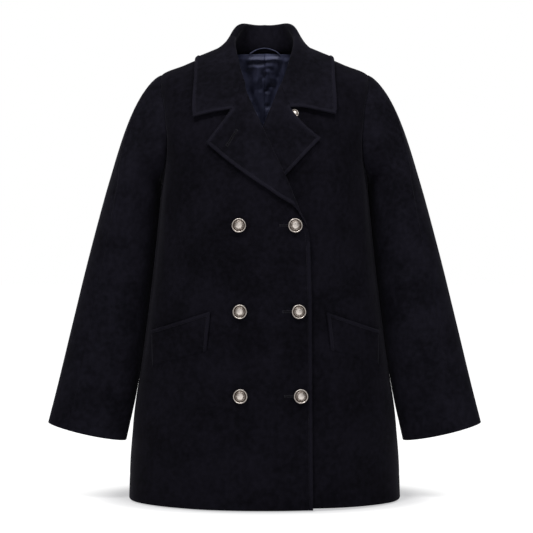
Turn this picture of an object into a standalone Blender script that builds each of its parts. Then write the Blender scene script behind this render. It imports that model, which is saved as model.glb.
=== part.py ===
"""A short double-breasted wool overcoat, filled out as it is worn.

Metres, +Z up. +X is the wearer's left, -Y is the front. The origin lies between the two high points of
the shoulders, where the wearer holds the coat up. Every panel is cut from one body surface, which is a
stack of rings: an angle runs round the body (0 at the wearer's left side, 90 at the centre back, 180 at
the right side, 270 at the centre front) and a level runs up it, one unit for each ring of the table.
"""
import math

import bmesh
import bpy
import numpy as np

# ---- driving dimensions -------------------------------------------------------------------------------
CLOTH = 0.0028               # melton wool
FACING = 0.0034              # lapels and collar, two layers pressed together
SATIN = 0.0010               # lining
SEAM_GAP = 0.0003            # between pieces that are sewn edge to edge
SEAM_DEG = 0.075             # half of that gap, as an angle round the body
ROLL_RADIUS = 0.0024         # of the fold where a lapel turns back
LAPEL_LIFT = 0.0036          # middle of a lapel's cloth above the front that it lies on
LAPEL_TIP_LIFT = 0.0028
OVERLAP_LIFT = 0.0040        # of the right front where it lies on the left one
LAPEL_PAD = 0.0056           # further lift where the left lapel lies between them
LIFT_SPREAD = (-0.088, -0.006)   # the lift grows over this stretch beside the left front's edge
HEM_RAISE = 0.05             # the under front is this much of a ring shorter at its edge

BODY_COLUMNS = ("name", "z_side", "z_front", "z_back", "half_width", "front_depth", "back_depth", "square")
BODY_RINGS = (
    ("hem",        -0.801, -0.801, -0.801, 0.2430, 0.1700, 0.1500, 2.15),
    ("skirt",      -0.720, -0.720, -0.720, 0.2398, 0.1670, 0.1480, 2.22),
    ("thigh",      -0.640, -0.640, -0.640, 0.2315, 0.1635, 0.1455, 2.30),
    ("hip",        -0.560, -0.560, -0.560, 0.2182, 0.1600, 0.1420, 2.38),
    ("high_hip",   -0.480, -0.480, -0.480, 0.2070, 0.1565, 0.1370, 2.42),
    ("waist",      -0.400, -0.400, -0.400, 0.1970, 0.1535, 0.1320, 2.45),
    ("rib",        -0.3214, -0.3214, -0.3214, 0.1886, 0.1515, 0.1285, 2.48),
    ("chest",      -0.262, -0.264, -0.262, 0.1833, 0.1500, 0.1275, 2.50),
    ("underarm",   -0.213, -0.222, -0.215, 0.1800, 0.1480, 0.1270, 2.52),
    ("armhole",    -0.158, -0.187, -0.170, 0.1845, 0.1430, 0.1250, 2.55),
    ("across",     -0.102, -0.160, -0.118, 0.1895, 0.1370, 0.1180, 2.50),
    ("shoulder",   -0.0495, -0.132, -0.066, 0.1885, 0.1310, 0.1060, 2.30),
    ("yoke",       -0.0260, -0.112, -0.030, 0.1410, 0.1265, 0.0920, 2.30),
    ("neck",        0.0020, -0.096, 0.007, 0.0750, 0.1240, 0.0780, 2.00),
)
BREAK_LEVEL = 6              # the lapels break here, at the ring "rib"
UNDERARM_LEVEL = 7.82        # bottom of the armholes
SHOULDER_LEVEL = 11.14       # their top
NECK_LEVEL = len(BODY_RINGS) - 1
ARMHOLE_FRONT = 29.0         # half width of the armhole round the body, in degrees
ARMHOLE_BACK = 27.0
ARMHOLE_SQUARE = 2.4

# The largest folds of the skirt, each a soft ridge that runs down to the hem: its angle round the body, its
# half width in degrees, how far it stands out at the hem, and the level at which it has died away.
BODY_FOLDS = (
    (28, 13, 0.0050, 4.6),
    (61, 12, -0.0040, 4.0),
    (90, 13, 0.0035, 3.4),
    (121, 12, -0.0045, 4.2),
    (152, 13, 0.0050, 4.8),
    (204, 10, 0.0020, 2.6),
    (335, 10, 0.0025, 2.8),
)

# Front edge, then roll line, of each front as seen from the front: z, x.
RIGHT_FRONT_EDGE = ((-0.801, 0.0844), (-0.640, 0.0830), (-0.480, 0.0805), (-0.3214, 0.0777),
                    (-0.285, 0.0614), (-0.2287, 0.0385), (-0.1894, 0.0180), (-0.1535, 0.0007),
                    (-0.1061, -0.0247), (-0.0824, -0.0366), (-0.055, -0.0372))
LEFT_FRONT_EDGE = ((-0.801, -0.0684), (-0.640, -0.0670), (-0.480, -0.0645), (-0.3214, -0.0617),
                   (-0.285, -0.0470), (-0.2287, -0.0265), (-0.1894, -0.0118), (-0.1498, 0.0020),
                   (-0.1103, 0.0175), (-0.0785, 0.0300), (-0.068, 0.0345))

# Outline of each lapel from its break to its notch, as seen from the front: x, z.
RIGHT_LAPEL_LOWER = ((0.0705, -0.3095), (0.0504, -0.2835), (-0.0043, -0.2527), (-0.0542, -0.2160),
                     (-0.0990, -0.1776))
RIGHT_LAPEL_UPPER = ((-0.0990, -0.1776), (-0.0773, -0.1490), (-0.0556, -0.1201))
LEFT_LAPEL_LOWER = ((-0.0545, -0.3120), (-0.0100, -0.2800), (0.0428, -0.2265), (0.0700, -0.1970),
                    (0.0952, -0.1700))
LEFT_LAPEL_UPPER = ((0.0952, -0.1700), (0.0700, -0.1420), (0.0455, -0.1144))
RIGHT_COLLAR_FRONT = ((-0.0556, -0.1201), (-0.0900, -0.1235), (-0.1236, -0.1270))
LEFT_COLLAR_FRONT = ((0.0455, -0.1144), (0.0830, -0.1175), (0.1211, -0.1205))

# The top of the collar's roll, from the centre back (way 0) round to the front end (way 1), measured from
# the neck seam: way, how far along the coat's surface, how far off it.
COLLAR_ROLL = (
    (0.00, 0.0445, 0.0270),
    (0.10, 0.0420, 0.0340),
    (0.20, 0.0385, 0.0395),
    (0.30, 0.0380, 0.0350),
    (0.38, 0.0340, 0.0250),
    (0.46, 0.0275, 0.0120),
    (0.56, 0.0225, 0.0060),
    (0.68, 0.0185, 0.0038),
    (0.80, 0.0140, 0.0030),
    (0.91, 0.0080, 0.0018),
    (1.00, 0.0028, 0.0009),
)
# Its outer edge: way, x, y, z.
COLLAR_EDGE = (
    (0.00, 0.0000, 0.1000, -0.0320),
    (0.20, 0.0500, 0.0960, -0.0320),
    (0.36, 0.0900, 0.0800, -0.0300),
    (0.48, 0.1140, 0.0450, -0.0230),
    (0.58, 0.1185, 0.0000, -0.0170),
    (0.72, 0.1180, -0.0500, -0.0480),
    (0.86, 0.1205, -0.0850, -0.0880),
    (1.00, 0.1236, -0.1020, -0.1270),
)
COLLAR_LIFT = 0.0032         # middle of the collar's cloth above the coat, at least
BACK_FOLD = 0.0026           # the collar rolls this much rounder at the back
END_REACH = 6                # how sharply the collar's front end takes its own line
STAND_POINTS = 4
FALL_POINTS = 7

# The outer and the inner edge of a sleeve as seen from the front, and how far each ring reaches in depth.
SLEEVE_COLUMNS = ("name", "outer_x", "outer_z", "inner_x", "inner_z", "middle_y", "half_depth")
SLEEVE_RINGS = (
    ("biceps",  0.2732, -0.2149, 0.1868, -0.2420, 0.004, 0.0690),
    ("mid_arm", 0.2885, -0.2689, 0.1885, -0.2950, 0.000, 0.0680),
    ("elbow",   0.3166, -0.3769, 0.2000, -0.4020, -0.006, 0.0630),
    ("forearm", 0.3422, -0.4849, 0.2135, -0.5100, -0.014, 0.0570),
    ("wrist",   0.3674, -0.5929, 0.2290, -0.6150, -0.022, 0.0500),
    ("cuff",    0.3856, -0.6660, 0.2462, -0.6975, -0.027, 0.0420),
)
CUFF_SAG = 0.002             # the cuff's edge dips this much at its front and back
CAP_ROUNDNESS = 0.75         # how far the cap follows the shoulder before it turns down
MITRE_LIMIT = 0.62           # the least share of a cloth's thickness that a mitred seam keeps

# The seam down the outer arm: station, degrees round the sleeve from its outer edge to the front.
OVERARM_SEAM = ((0.0, 0.0), (0.5, 32.0), (1.0, 50.0), (2.0, 57.0), (6.0, 63.0))

# Soft ridges in the sleeves: degrees, half width in degrees, height, first station, last station.
SLEEVE_FOLDS = (
    (72, 20, 0.0030, 0.25, 2.6),
    (118, 18, -0.0020, 0.60, 3.0),
    (300, 24, 0.0025, 0.40, 3.4),
    (236, 20, -0.0020, 1.80, 4.6),
)

# Corners of each pocket's welt: inner top, inner bottom, outer top, outer bottom.
RIGHT_POCKET = ((-0.0902, -0.4665), (-0.0973, -0.5327), (-0.1985, -0.5060), (-0.1960, -0.5630))
LEFT_POCKET = ((0.1043, -0.4680), (0.1123, -0.5306), (0.2010, -0.5035), (0.1990, -0.5590))
WELT = 0.0030
WELT_GAP = 0.0008            # keeps the welt clear of the front's flat faces

# The pairs of buttons: z, x on the wearer's right, x on the wearer's left.
BUTTONS = ((-0.3194, -0.0422, 0.0526), (-0.4656, -0.0413, 0.0574), (-0.6084, -0.0403, 0.0606))
BUTTON_RADIUS = 0.0128
LAPEL_BUTTON_RADIUS = 0.0076
LAPEL_BUTTON_AT = (0.0525, -0.1275)
# A button's turned outline in shares of its radius: out from its axis, height over the cloth.
BUTTON_PROFILE = ((0.00, 0.000), (0.24, 0.000), (0.24, 0.180), (0.62, 0.200), (0.97, 0.270), (1.00, 0.340),
                  (0.93, 0.440), (0.80, 0.400), (0.66, 0.380), (0.50, 0.500), (0.26, 0.580), (0.00, 0.610))

LINING_FIRST_ROW = 8
LINING_GAP = 0.0011          # it is sewn at the neck seam and lies on the back
LOOP_HALF_WIDTH = 0.0265
LOOP_HEIGHT = 0.0085
LOOP_RADIUS = 0.0018
LOOP_SEAT = 0.0002           # the loop's ends are sewn on at the neck seam

# ---- how finely the cloth is cut into faces ---------------------------------------------------------
ROWS_BELOW_BREAK = 6
ROWS_TO_UNDERARM = 3
ROWS_ARMHOLE = 8
ROWS_SHOULDER = 3
CAP_ROWS = 5                 # from the armhole to the biceps ring
FRONT_COLUMNS = 14
BACK_COLUMNS = 18
LAPEL_COLUMNS_ACROSS = 6
WELT_COLUMNS = 9
WELT_ROWS = 3
BUTTON_SIDES = 14
LOOP_SIDES = 8
STEP_DEG = 0.3               # for slopes round the body and up it
STEP_LEVEL = 0.002

COLOURS = {
    "wool": (0.0065, 0.0062, 0.0092),
    "satin": (0.0120, 0.0110, 0.0230),
    "metal": (0.4200, 0.3800, 0.3300),
}


# ---- the body surface --------------------------------------------------------------------------------
def smooth_column(table, column, level):
    """One column of a table of rings, read smoothly at a level between two rows."""
    values = np.array([row[column] for row in table], float)
    level = np.clip(np.asarray(level, float), 0, len(values) - 1)
    low = np.clip(level.astype(int), 0, len(values) - 2)
    part = level - low
    padded = np.concatenate(([2 * values[0] - values[1]], values, [2 * values[-1] - values[-2]]))
    before, start, end, after = (padded[low + k] for k in range(4))
    slope_in = (end - before) / 2
    slope_out = (after - start) / 2
    square, cube = part ** 2, part ** 3
    return ((2 * cube - 3 * square + 1) * start + (cube - 2 * square + part) * slope_in
            + (3 * square - 2 * cube) * end + (cube - square) * slope_out)


def body_fold(angle, level):
    """How far the skirt's folds stand out."""
    total = np.zeros(np.broadcast(angle, level).shape)
    for at, half_width, height, top in BODY_FOLDS:
        away = (angle - at + 180) % 360 - 180
        total = total + height * np.exp(-(away / half_width) ** 2) * np.clip(1 - level / top, 0, 1) ** 2
    return total


def body_point(angle, level):
    """Points of the coat's outer surface, at angles in degrees round it and levels up it."""
    z_side, z_front, z_back, width, front, back, square = (
        smooth_column(BODY_RINGS, column, level) for column in range(1, len(BODY_COLUMNS)))
    turn = np.radians(angle)
    cosine, sine = np.cos(turn), np.sin(turn)
    reach = (np.abs(cosine) ** square + np.abs(sine) ** square) ** (-1 / square)
    depth = np.where(sine < 0, front, back)
    z_far = np.where(sine < 0, z_front, z_back)
    fold = body_fold(angle, level)
    return np.stack((width * reach * cosine + fold * cosine, depth * reach * sine + fold * sine,
                     z_side + (z_far - z_side) * sine ** 2), -1)


def unit(vectors):
    return vectors / np.maximum(np.linalg.norm(vectors, axis=-1, keepdims=True), 1e-12)


def body_normal(angle, level):
    """The way out of the surface."""
    level = np.clip(level, STEP_LEVEL, NECK_LEVEL - STEP_LEVEL)
    around = body_point(angle + STEP_DEG, level) - body_point(angle - STEP_DEG, level)
    up = body_point(angle, level + STEP_LEVEL) - body_point(angle, level - STEP_LEVEL)
    return unit(np.cross(around, up))


def angle_at(side, x, level):
    """The angle at which the front of a side (1 left, -1 right) reaches x at a level."""
    width = smooth_column(BODY_RINGS, BODY_COLUMNS.index("half_width"), level)
    square = smooth_column(BODY_RINGS, BODY_COLUMNS.index("square"), level)
    share = np.clip(side * x / width, -0.999, 0.999)
    away = np.degrees(np.arctan2((1 - np.abs(share) ** square) ** (1 / square), share))
    return -away if side > 0 else 180 + away


def find_on_body(targets, weights=(1.0, 1.0, 1.0), front_only=False):
    """Angle and level of the surface point nearest to each target; a weight of 0 leaves that axis free."""
    targets = np.asarray(targets, float).reshape(-1, 3)
    weights = np.array(weights)
    around = np.arange(182, 360, 4.0) if front_only else np.arange(180, 540, 5.0)
    angles, levels = np.meshgrid(around, np.linspace(0, NECK_LEVEL, 4 * NECK_LEVEL + 1), indexing="ij")
    angles, levels = angles.ravel(), levels.ravel()
    known = body_point(angles, levels)
    angle, level = np.empty(len(targets)), np.empty(len(targets))
    for first in range(0, len(targets), 500):
        some = targets[first:first + 500]
        distance = (((known[None] - some[:, None]) * weights) ** 2).sum(-1)
        best = distance.argmin(1)
        angle[first:first + 500], level[first:first + 500] = angles[best], levels[best]
    for _ in range(12):
        here = body_point(angle, level)
        miss = (targets - here) * weights
        around = (body_point(angle + STEP_DEG, level) - body_point(angle - STEP_DEG, level)) * weights
        around /= 2 * STEP_DEG
        upper, lower = np.minimum(level + STEP_LEVEL, NECK_LEVEL), np.maximum(level - STEP_LEVEL, 0)
        up = (body_point(angle, upper) - body_point(angle, lower)) / (upper - lower)[:, None] * weights
        a, b, c = (around ** 2).sum(-1) + 1e-10, (around * up).sum(-1), (up ** 2).sum(-1) + 1e-10
        p, q = (around * miss).sum(-1), (up * miss).sum(-1)
        size = np.maximum(a * c - b * b, 1e-16)
        angle = angle + np.clip((c * p - b * q) / size, -4, 4)
        level = np.clip(level + np.clip((a * q - b * p) / size, -0.3, 0.3), 0, NECK_LEVEL)
    return angle, level


def soft_step(low, high, value):
    part = np.clip((value - low) / (high - low), 0, 1)
    return part * part * (3 - 2 * part)


def front_lift(side, points):
    """How far a front is lifted by what lies under it: only the right one lies on something."""
    if side > 0:
        return np.zeros(points.shape[:-1])
    x, z = points[..., 0], points[..., 2]
    heights, places = np.array(LEFT_FRONT_EDGE).T
    past_edge = x - np.interp(z, heights, places)
    over_lapel = soft_step(-0.420, -0.335, z)
    crossing = 1 - soft_step(-0.135, -0.082, z)
    return soft_step(*LIFT_SPREAD, past_edge) * crossing * (OVERLAP_LIFT + LAPEL_PAD * over_lapel)


def level_rows():
    """The levels at which all panels are cut, dense at both ends of the armhole."""
    half_turns = np.linspace(0, np.pi, ROWS_ARMHOLE + 1)
    armhole = UNDERARM_LEVEL + (SHOULDER_LEVEL - UNDERARM_LEVEL) * (1 - np.cos(half_turns)) / 2
    return np.concatenate((np.linspace(0, BREAK_LEVEL, ROWS_BELOW_BREAK + 1),
                           np.linspace(BREAK_LEVEL, UNDERARM_LEVEL, ROWS_TO_UNDERARM + 1)[1:],
                           armhole[1:], np.linspace(SHOULDER_LEVEL, NECK_LEVEL, ROWS_SHOULDER + 1)[1:]))


LEVELS = level_rows()
FIRST_ARMHOLE_ROW = ROWS_BELOW_BREAK + ROWS_TO_UNDERARM
LAST_ARMHOLE_ROW = FIRST_ARMHOLE_ROW + ROWS_ARMHOLE


def armhole_bulge(level, half_angle):
    """How far the armhole's edge lies round the body from the side seam, in degrees."""
    height = np.clip((level - UNDERARM_LEVEL) / (SHOULDER_LEVEL - UNDERARM_LEVEL), 0, 1)
    return half_angle * (1 - np.abs(2 * height - 1) ** ARMHOLE_SQUARE) ** (1 / ARMHOLE_SQUARE)


def edge_angle(side, level):
    """The angle of a front's free edge, or above the break its roll line."""
    table = RIGHT_FRONT_EDGE if side < 0 else LEFT_FRONT_EDGE
    heights, places = np.array(table).T
    x = np.zeros_like(level) + 0.05
    for _ in range(12):
        angle = angle_at(side, x, level)
        x = np.interp(body_point(angle, level)[..., 2], heights, places)
    return angle


# ---- making solids ------------------------------------------------------------------------------------
def material(name, colour, roughness, metallic=0.0):
    made = bpy.data.materials.new(name)
    made.use_nodes = True
    shader = made.node_tree.nodes["Principled BSDF"]
    shader.inputs["Base Color"].default_value = (*colour, 1)
    shader.inputs["Roughness"].default_value = roughness
    shader.inputs["Metallic"].default_value = metallic
    made.diffuse_color = (*colour, 1)
    return made


def add_solid(name, points, faces, look):
    mesh = bpy.data.meshes.new(name)
    mesh.from_pydata([tuple(point) for point in points], [], faces)
    made = bmesh.new()
    made.from_mesh(mesh)
    bmesh.ops.recalc_face_normals(made, faces=made.faces)
    if made.calc_volume(signed=True) < 0:
        bmesh.ops.reverse_faces(made, faces=made.faces)
    made.to_mesh(mesh)
    made.free()
    mesh.shade_smooth()
    mesh.set_sharp_from_angle(angle=math.radians(50))
    kind, roughness, metallic = look
    mesh.materials.append(material(name, COLOURS[kind], roughness, metallic))
    piece = bpy.data.objects.new(name, mesh)
    bpy.context.scene.collection.objects.link(piece)
    return piece


WOOL = ("wool", 0.92, 0.0)
SILK = ("satin", 0.38, 0.0)
METAL = ("metal", 0.36, 1.0)


def add_sheet(name, outer, inner, look):
    """A wall between two grids of points, closed all round its edge."""
    rows, columns = outer.shape[:2]
    points = np.concatenate((outer.reshape(-1, 3), inner.reshape(-1, 3)))
    at = np.arange(rows * columns).reshape(rows, columns)
    under = at + rows * columns
    faces = []
    for row in range(rows - 1):
        for column in range(columns - 1):
            corners = ((row, column), (row, column + 1), (row + 1, column + 1), (row + 1, column))
            halves = split_quad(points, [int(at[c]) for c in corners])
            faces += halves
            faces += [[corner + rows * columns for corner in reversed(half)] for half in halves]
    border = [(0, column) for column in range(columns)]
    border += [(row, columns - 1) for row in range(1, rows)]
    border += [(rows - 1, column) for column in range(columns - 2, -1, -1)]
    border += [(row, 0) for row in range(rows - 2, 0, -1)]
    for here, after in zip(border, border[1:] + border[:1]):
        faces += split_quad(points, [int(at[after]), int(at[here]), int(under[here]), int(under[after])])
    return add_solid(name, points, faces, look)


def split_quad(points, corners):
    """Two triangles, cut along the shorter diagonal, so that pieces that meet are cut alike."""
    a, b, c, d = corners
    if np.linalg.norm(points[a] - points[c]) < np.linalg.norm(points[b] - points[d]):
        return [[a, b, c], [a, c, d]]
    return [[a, b, d], [b, c, d]]


def wall(points, normals, thickness):
    """The two faces of a cloth whose middle runs through the points."""
    return points + normals * thickness / 2, points - normals * thickness / 2


def grid_normals(points):
    """The normals of a grid of points, from its own neighbours."""
    down = np.gradient(points, axis=0)
    across = np.gradient(points, axis=1)
    return unit(np.cross(across, down))


# ---- sleeves ------------------------------------------------------------------------------------------
def armhole_loop(side, degrees):
    """Angle and level of points round the armhole: 0 at the shoulder, 90 in front, 180 under the arm."""
    turn = np.radians(degrees)
    level = UNDERARM_LEVEL + (SHOULDER_LEVEL - UNDERARM_LEVEL) * (1 + np.cos(turn)) / 2
    behind, before = armhole_bulge(level, ARMHOLE_BACK), armhole_bulge(level, ARMHOLE_FRONT)
    away = np.where(np.sin(turn) < 0, behind, -before)
    return (away if side > 0 else 180 - away), level


def armhole_join(side, degrees):
    """Both edges of the armhole's seam, mitred between body and sleeve, and the ways across and out."""
    angle, level = armhole_loop(side, degrees)
    points, normals = body_point(angle, level), body_normal(angle, level)
    along = unit(body_point(*armhole_loop(side, degrees + 6)) - body_point(*armhole_loop(side, degrees - 6)))
    turn = np.radians(degrees)
    leave = unit(np.stack((side * (0.62 + 0.28 * np.cos(turn)), -0.12 * np.sin(turn),
                           -(0.68 - 0.26 * np.cos(turn))), -1))
    sleeve_normals = unit(np.cross(along, leave)) * side
    mitre = unit(normals + sleeve_normals)
    depth = CLOTH / np.maximum((mitre * normals).sum(-1), MITRE_LIMIT)
    across = unit(np.cross(mitre, along))
    across = across * np.sign((across * leave).sum(-1))[..., None]
    return points, points - mitre * depth[..., None], across, leave


def sleeve_ring(side, ring, degrees):
    """Points of a sleeve's outer surface, at rings along it and degrees round it from its outer edge."""
    outer_x, outer_z, inner_x, inner_z, middle_y, half_depth = (
        smooth_column(SLEEVE_RINGS, column, ring) for column in range(1, len(SLEEVE_COLUMNS)))
    turn = np.radians(degrees)
    across = np.cos(turn)
    x = (outer_x + inner_x) / 2 + (outer_x - inner_x) / 2 * across
    z = (outer_z + inner_z) / 2 + (outer_z - inner_z) / 2 * across
    z = z - CUFF_SAG * soft_step(3.5, 5.0, ring) * np.sin(turn) ** 2
    y = middle_y - half_depth * np.sin(turn)
    return np.stack((side * x, y, z), -1)


def sleeve_point(side, station, degrees):
    """A sleeve's outer surface: stations 0 to 1 run down its cap, and one more for each ring of the arm."""
    edge, _, across, leave = armhole_join(side, degrees)
    start = edge + across * SEAM_GAP
    first_ring = sleeve_ring(side, np.zeros_like(station), degrees)
    arm = unit(sleeve_ring(side, np.full_like(station, 0.1), degrees) - first_ring)
    reach = np.linalg.norm(first_ring - start, axis=-1, keepdims=True)
    part = np.clip(station, 0, 1)[..., None]
    square, cube = part ** 2, part ** 3
    cap = ((2 * cube - 3 * square + 1) * start + (cube - 2 * square + part) * leave * reach * CAP_ROUNDNESS
           + (3 * square - 2 * cube) * first_ring + (cube - square) * arm * reach)
    smooth = np.where(station[..., None] < 1, cap, sleeve_ring(side, np.maximum(station - 1, 0), degrees))
    return smooth + sleeve_fold(side, station, degrees)


def sleeve_fold(side, station, degrees):
    """How far the soft ridges move a sleeve's surface."""
    height = np.zeros(np.broadcast(station, degrees).shape)
    for at, half_width, most, start, end in SLEEVE_FOLDS:
        away = (degrees - at + 180) % 360 - 180
        run = soft_step(start, start + 0.9, station) * (1 - soft_step(end - 1.1, end, station))
        height = height + most * np.exp(-(away / half_width) ** 2) * run
    turn = np.radians(degrees)
    return height[..., None] * np.stack((side * np.cos(turn), -np.sin(turn), np.zeros(height.shape)), -1)


def sleeve_wall(side, station, degrees):
    """Outer and inner points of a sleeve's cloth."""
    outer = sleeve_point(side, station, degrees)
    last = len(SLEEVE_RINGS)
    upper, lower = np.maximum(station - 0.02, 0.0), np.minimum(station + 0.02, last)
    down = sleeve_point(side, lower, degrees) - sleeve_point(side, upper, degrees)
    around = sleeve_point(side, station, degrees + 2) - sleeve_point(side, station, degrees - 2)
    inner = outer - unit(np.cross(around, down)) * side * CLOTH
    _, inner_edge, across, _ = armhole_join(side, degrees)
    return outer, np.where(station[..., None] == 0, inner_edge + across * SEAM_GAP, inner)


def make_sleeve(side, word):
    """Two pieces, joined along the over-arm seam in front of the outer edge and under the arm."""
    rings = len(SLEEVE_RINGS)
    stations = np.concatenate((np.linspace(0, 1, CAP_ROWS + 1), np.linspace(1, rings, 2 * rings - 1)[2:]))
    seam = np.interp(stations, *np.array(OVERARM_SEAM).T)
    share = np.linspace(0, 1, ROWS_ARMHOLE + 1)
    for half in ("front", "back"):
        first, last = (seam, 180.0) if half == "front" else (180.0, seam + 360)
        degrees = (np.zeros_like(seam) + first)[:, None] + (last - first)[:, None] * share
        station = np.repeat(stations[:, None], len(share), 1)
        for edge_column, inside in ((0, 1), (-1, -1)):
            here = sleeve_point(side, stations, degrees[:, edge_column])
            near = sleeve_point(side, stations, degrees[:, edge_column] + inside)
            degrees[:, edge_column] += inside * SEAM_GAP / 2 / np.linalg.norm(near - here, axis=-1)
        add_sheet(f"sleeve_{word}_{half}", *sleeve_wall(side, station, degrees), WOOL)


# ---- panels -------------------------------------------------------------------------------------------
def make_front(side, word):
    """From the side seam, armhole and shoulder seam to the front edge and the roll line."""
    first = armhole_bulge(LEVELS, ARMHOLE_FRONT) + SEAM_DEG * (armhole_bulge(LEVELS, 1) == 0)
    first = -first if side > 0 else 180 + first
    last = edge_angle(side, LEVELS)
    share = np.linspace(0, 1, FRONT_COLUMNS + 1)
    angle = first[:, None] + (last - first)[:, None] * share
    level = np.repeat(LEVELS[:, None], len(share), 1)
    if side > 0:
        level = level + HEM_RAISE * np.clip(1 - level, 0, 1) * np.clip(-angle / 90, 0, 1) ** 2
    points, normals = body_point(angle, level), body_normal(angle, level)
    outer = points + normals * front_lift(side, points)[..., None]
    inner = outer - normals * CLOTH
    fit_armhole(side, outer, inner, 0, True)
    add_sheet(f"front_{word}", outer, inner, WOOL)


def fit_armhole(side, outer, inner, column, front):
    """Move a panel's edge to the armhole's mitred seam."""
    degrees = np.linspace(180, 0, ROWS_ARMHOLE + 1)
    edge, inner_edge, _, _ = armhole_join(side, degrees if front else 360 - degrees)
    rows = slice(FIRST_ARMHOLE_ROW, LAST_ARMHOLE_ROW + 1)
    inner[rows, column] = inner_edge + outer[rows, column] - edge


def make_back():
    first = armhole_bulge(LEVELS, ARMHOLE_BACK) + SEAM_DEG * (armhole_bulge(LEVELS, 1) == 0)
    share = np.linspace(0, 1, BACK_COLUMNS + 1)
    angle = first[:, None] + (180 - 2 * first)[:, None] * share
    level = np.repeat(LEVELS[:, None], len(share), 1)
    outer, normals = body_point(angle, level), body_normal(angle, level)
    inner = outer - normals * CLOTH
    fit_armhole(1, outer, inner, 0, False)
    fit_armhole(-1, outer, inner, -1, False)
    add_sheet("back", outer, inner, WOOL)


# ---- lapels -------------------------------------------------------------------------------------------
def along_line(line, share):
    """The point at each share of a line's length."""
    line = np.array(line)
    length = np.concatenate(([0], np.cumsum(np.linalg.norm(np.diff(line, axis=0), axis=-1))))
    return np.stack([np.interp(share * length[-1], length, line[:, k]) for k in range(line.shape[1])], -1)


def roll_line(side, levels):
    """Points on a front's roll line, with the way out of the cloth and the way out past the edge."""
    angle = edge_angle(side, levels)
    points, normals = body_point(angle, levels), body_normal(angle, levels)
    along = unit(np.gradient(points, axis=0))
    past = unit(np.cross(along, normals)) * -side
    return points, normals, past


def on_front(side, flat, lift):
    """Seat points given as (x, z) on a front, lifted off it; also returns the normals."""
    targets = np.stack((flat[..., 0], np.zeros(flat.shape[:-1]), flat[..., 1]), -1)
    angle, level = find_on_body(targets, (1, 0, 1), front_only=True)
    points, normals = body_point(angle, level), body_normal(angle, level)
    points = points.reshape(targets.shape)
    normals = normals.reshape(targets.shape)
    return points + normals * (front_lift(side, points) + lift)[..., None], normals


def turned_edge(side, points, normals, past, turns):
    """The fold of a lapel at its roll line: a grid with a column for each turn, from -90 to 90 degrees."""
    base = front_lift(side, points)[:, None, None]
    turns = np.radians(turns)[None, :, None]
    middle = LAPEL_LIFT - ROLL_RADIUS
    facing = past[:, None] * np.cos(turns) + normals[:, None] * np.sin(turns)
    folded = (points[:, None] + normals[:, None] * (base + middle) + past[:, None] * SEAM_GAP
              + facing * ROLL_RADIUS)
    return folded, facing


def lapel_grid(side):
    """Middle points and normals of a lapel, a row for each level above the break."""
    lower = RIGHT_LAPEL_LOWER if side < 0 else LEFT_LAPEL_LOWER
    upper = RIGHT_LAPEL_UPPER if side < 0 else LEFT_LAPEL_UPPER
    levels = LEVELS[ROWS_BELOW_BREAK:]
    points, normals, past = roll_line(side, levels)
    length = np.concatenate(([0], np.cumsum(np.linalg.norm(np.diff(points, axis=0), axis=-1))))
    share = length / length[-1]
    tip_row = int(np.argmin(np.abs(share - 0.66)))
    rows = np.arange(len(levels))
    lower_share = np.clip(share / share[tip_row], 0, 1)
    upper_share = np.clip((share - share[tip_row]) / (1 - share[tip_row]), 0, 1)
    below_tip = (rows <= tip_row)[:, None]
    outline = np.where(below_tip, along_line(lower, lower_share), along_line(upper, upper_share))
    folded, facing = turned_edge(side, points, normals, past, np.array((-90, -45, 0, 45, 90)))
    across = np.linspace(0, 1, LAPEL_COLUMNS_ACROSS + 1)[1:, None]
    flat = points[:, None, ::2] + (outline - points[:, ::2])[:, None] * across
    lift = LAPEL_LIFT + (LAPEL_TIP_LIFT - LAPEL_LIFT) * across[:, 0]
    laid, laid_normals = on_front(side, flat, np.broadcast_to(lift, flat.shape[:-1]))
    return np.concatenate((folded, laid), 1), np.concatenate((facing, laid_normals), 1)


def make_lapel(side, word):
    middle, normals = lapel_grid(side)
    outer, inner = wall(middle, normals, FACING)
    add_sheet(f"lapel_{word}", outer, inner, WOOL)


# ---- collar -------------------------------------------------------------------------------------------
def read_way(table, way):
    """The columns of a collar table, read smoothly at ways round the collar."""
    marks = np.array([row[0] for row in table])
    level = np.interp(way, marks, np.arange(len(marks)))
    return np.stack([smooth_column(table, column, level) for column in range(1, len(table[0]))], -1)


def bezier(a, b, c, d, share):
    share = share[:, None]
    return ((1 - share) ** 3 * a + 3 * (1 - share) ** 2 * share * b
            + 3 * (1 - share) * share ** 2 * c + share ** 3 * d)


def collar_end(side):
    """The collar's front end: round the roll, down the gorge seam to the notch, and out to its corner."""
    points, out, past = roll_line(side, LEVELS[-3:])
    turns = np.concatenate((np.linspace(-90, -50, STAND_POINTS), (-25, 25, 90)))
    folded, facing = turned_edge(side, points, out, past, turns)
    along = unit(points[-1] - points[-2])
    corner_line = RIGHT_COLLAR_FRONT if side < 0 else LEFT_COLLAR_FRONT
    start, notch = points[-1, ::2], np.array(corner_line[0])
    to_notch = FALL_POINTS // 2
    gorge = start + (notch - start) * np.linspace(0, 1, to_notch + 1)[1:, None]
    front = along_line(corner_line, np.linspace(0, 1, FALL_POINTS - to_notch + 1)[1:])
    flat = np.concatenate((gorge, front))
    laid, laid_normals = on_front(side, flat, np.full(len(flat), LAPEL_LIFT))
    return (np.concatenate((folded[-1], laid)) + along * SEAM_GAP * 2,
            np.concatenate((facing[-1], laid_normals)))


def collar_way(angle, level_points):
    """How far round the collar each point of the neck seam lies, from -1 (right end) to 1 (left end)."""
    length = np.concatenate(([0], np.cumsum(np.linalg.norm(np.diff(level_points, axis=0), axis=-1))))
    middle = np.interp(90, angle[::-1], length[::-1])
    return np.where(length < middle, (length - middle) / middle, (length - middle) / (length[-1] - middle))


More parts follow.
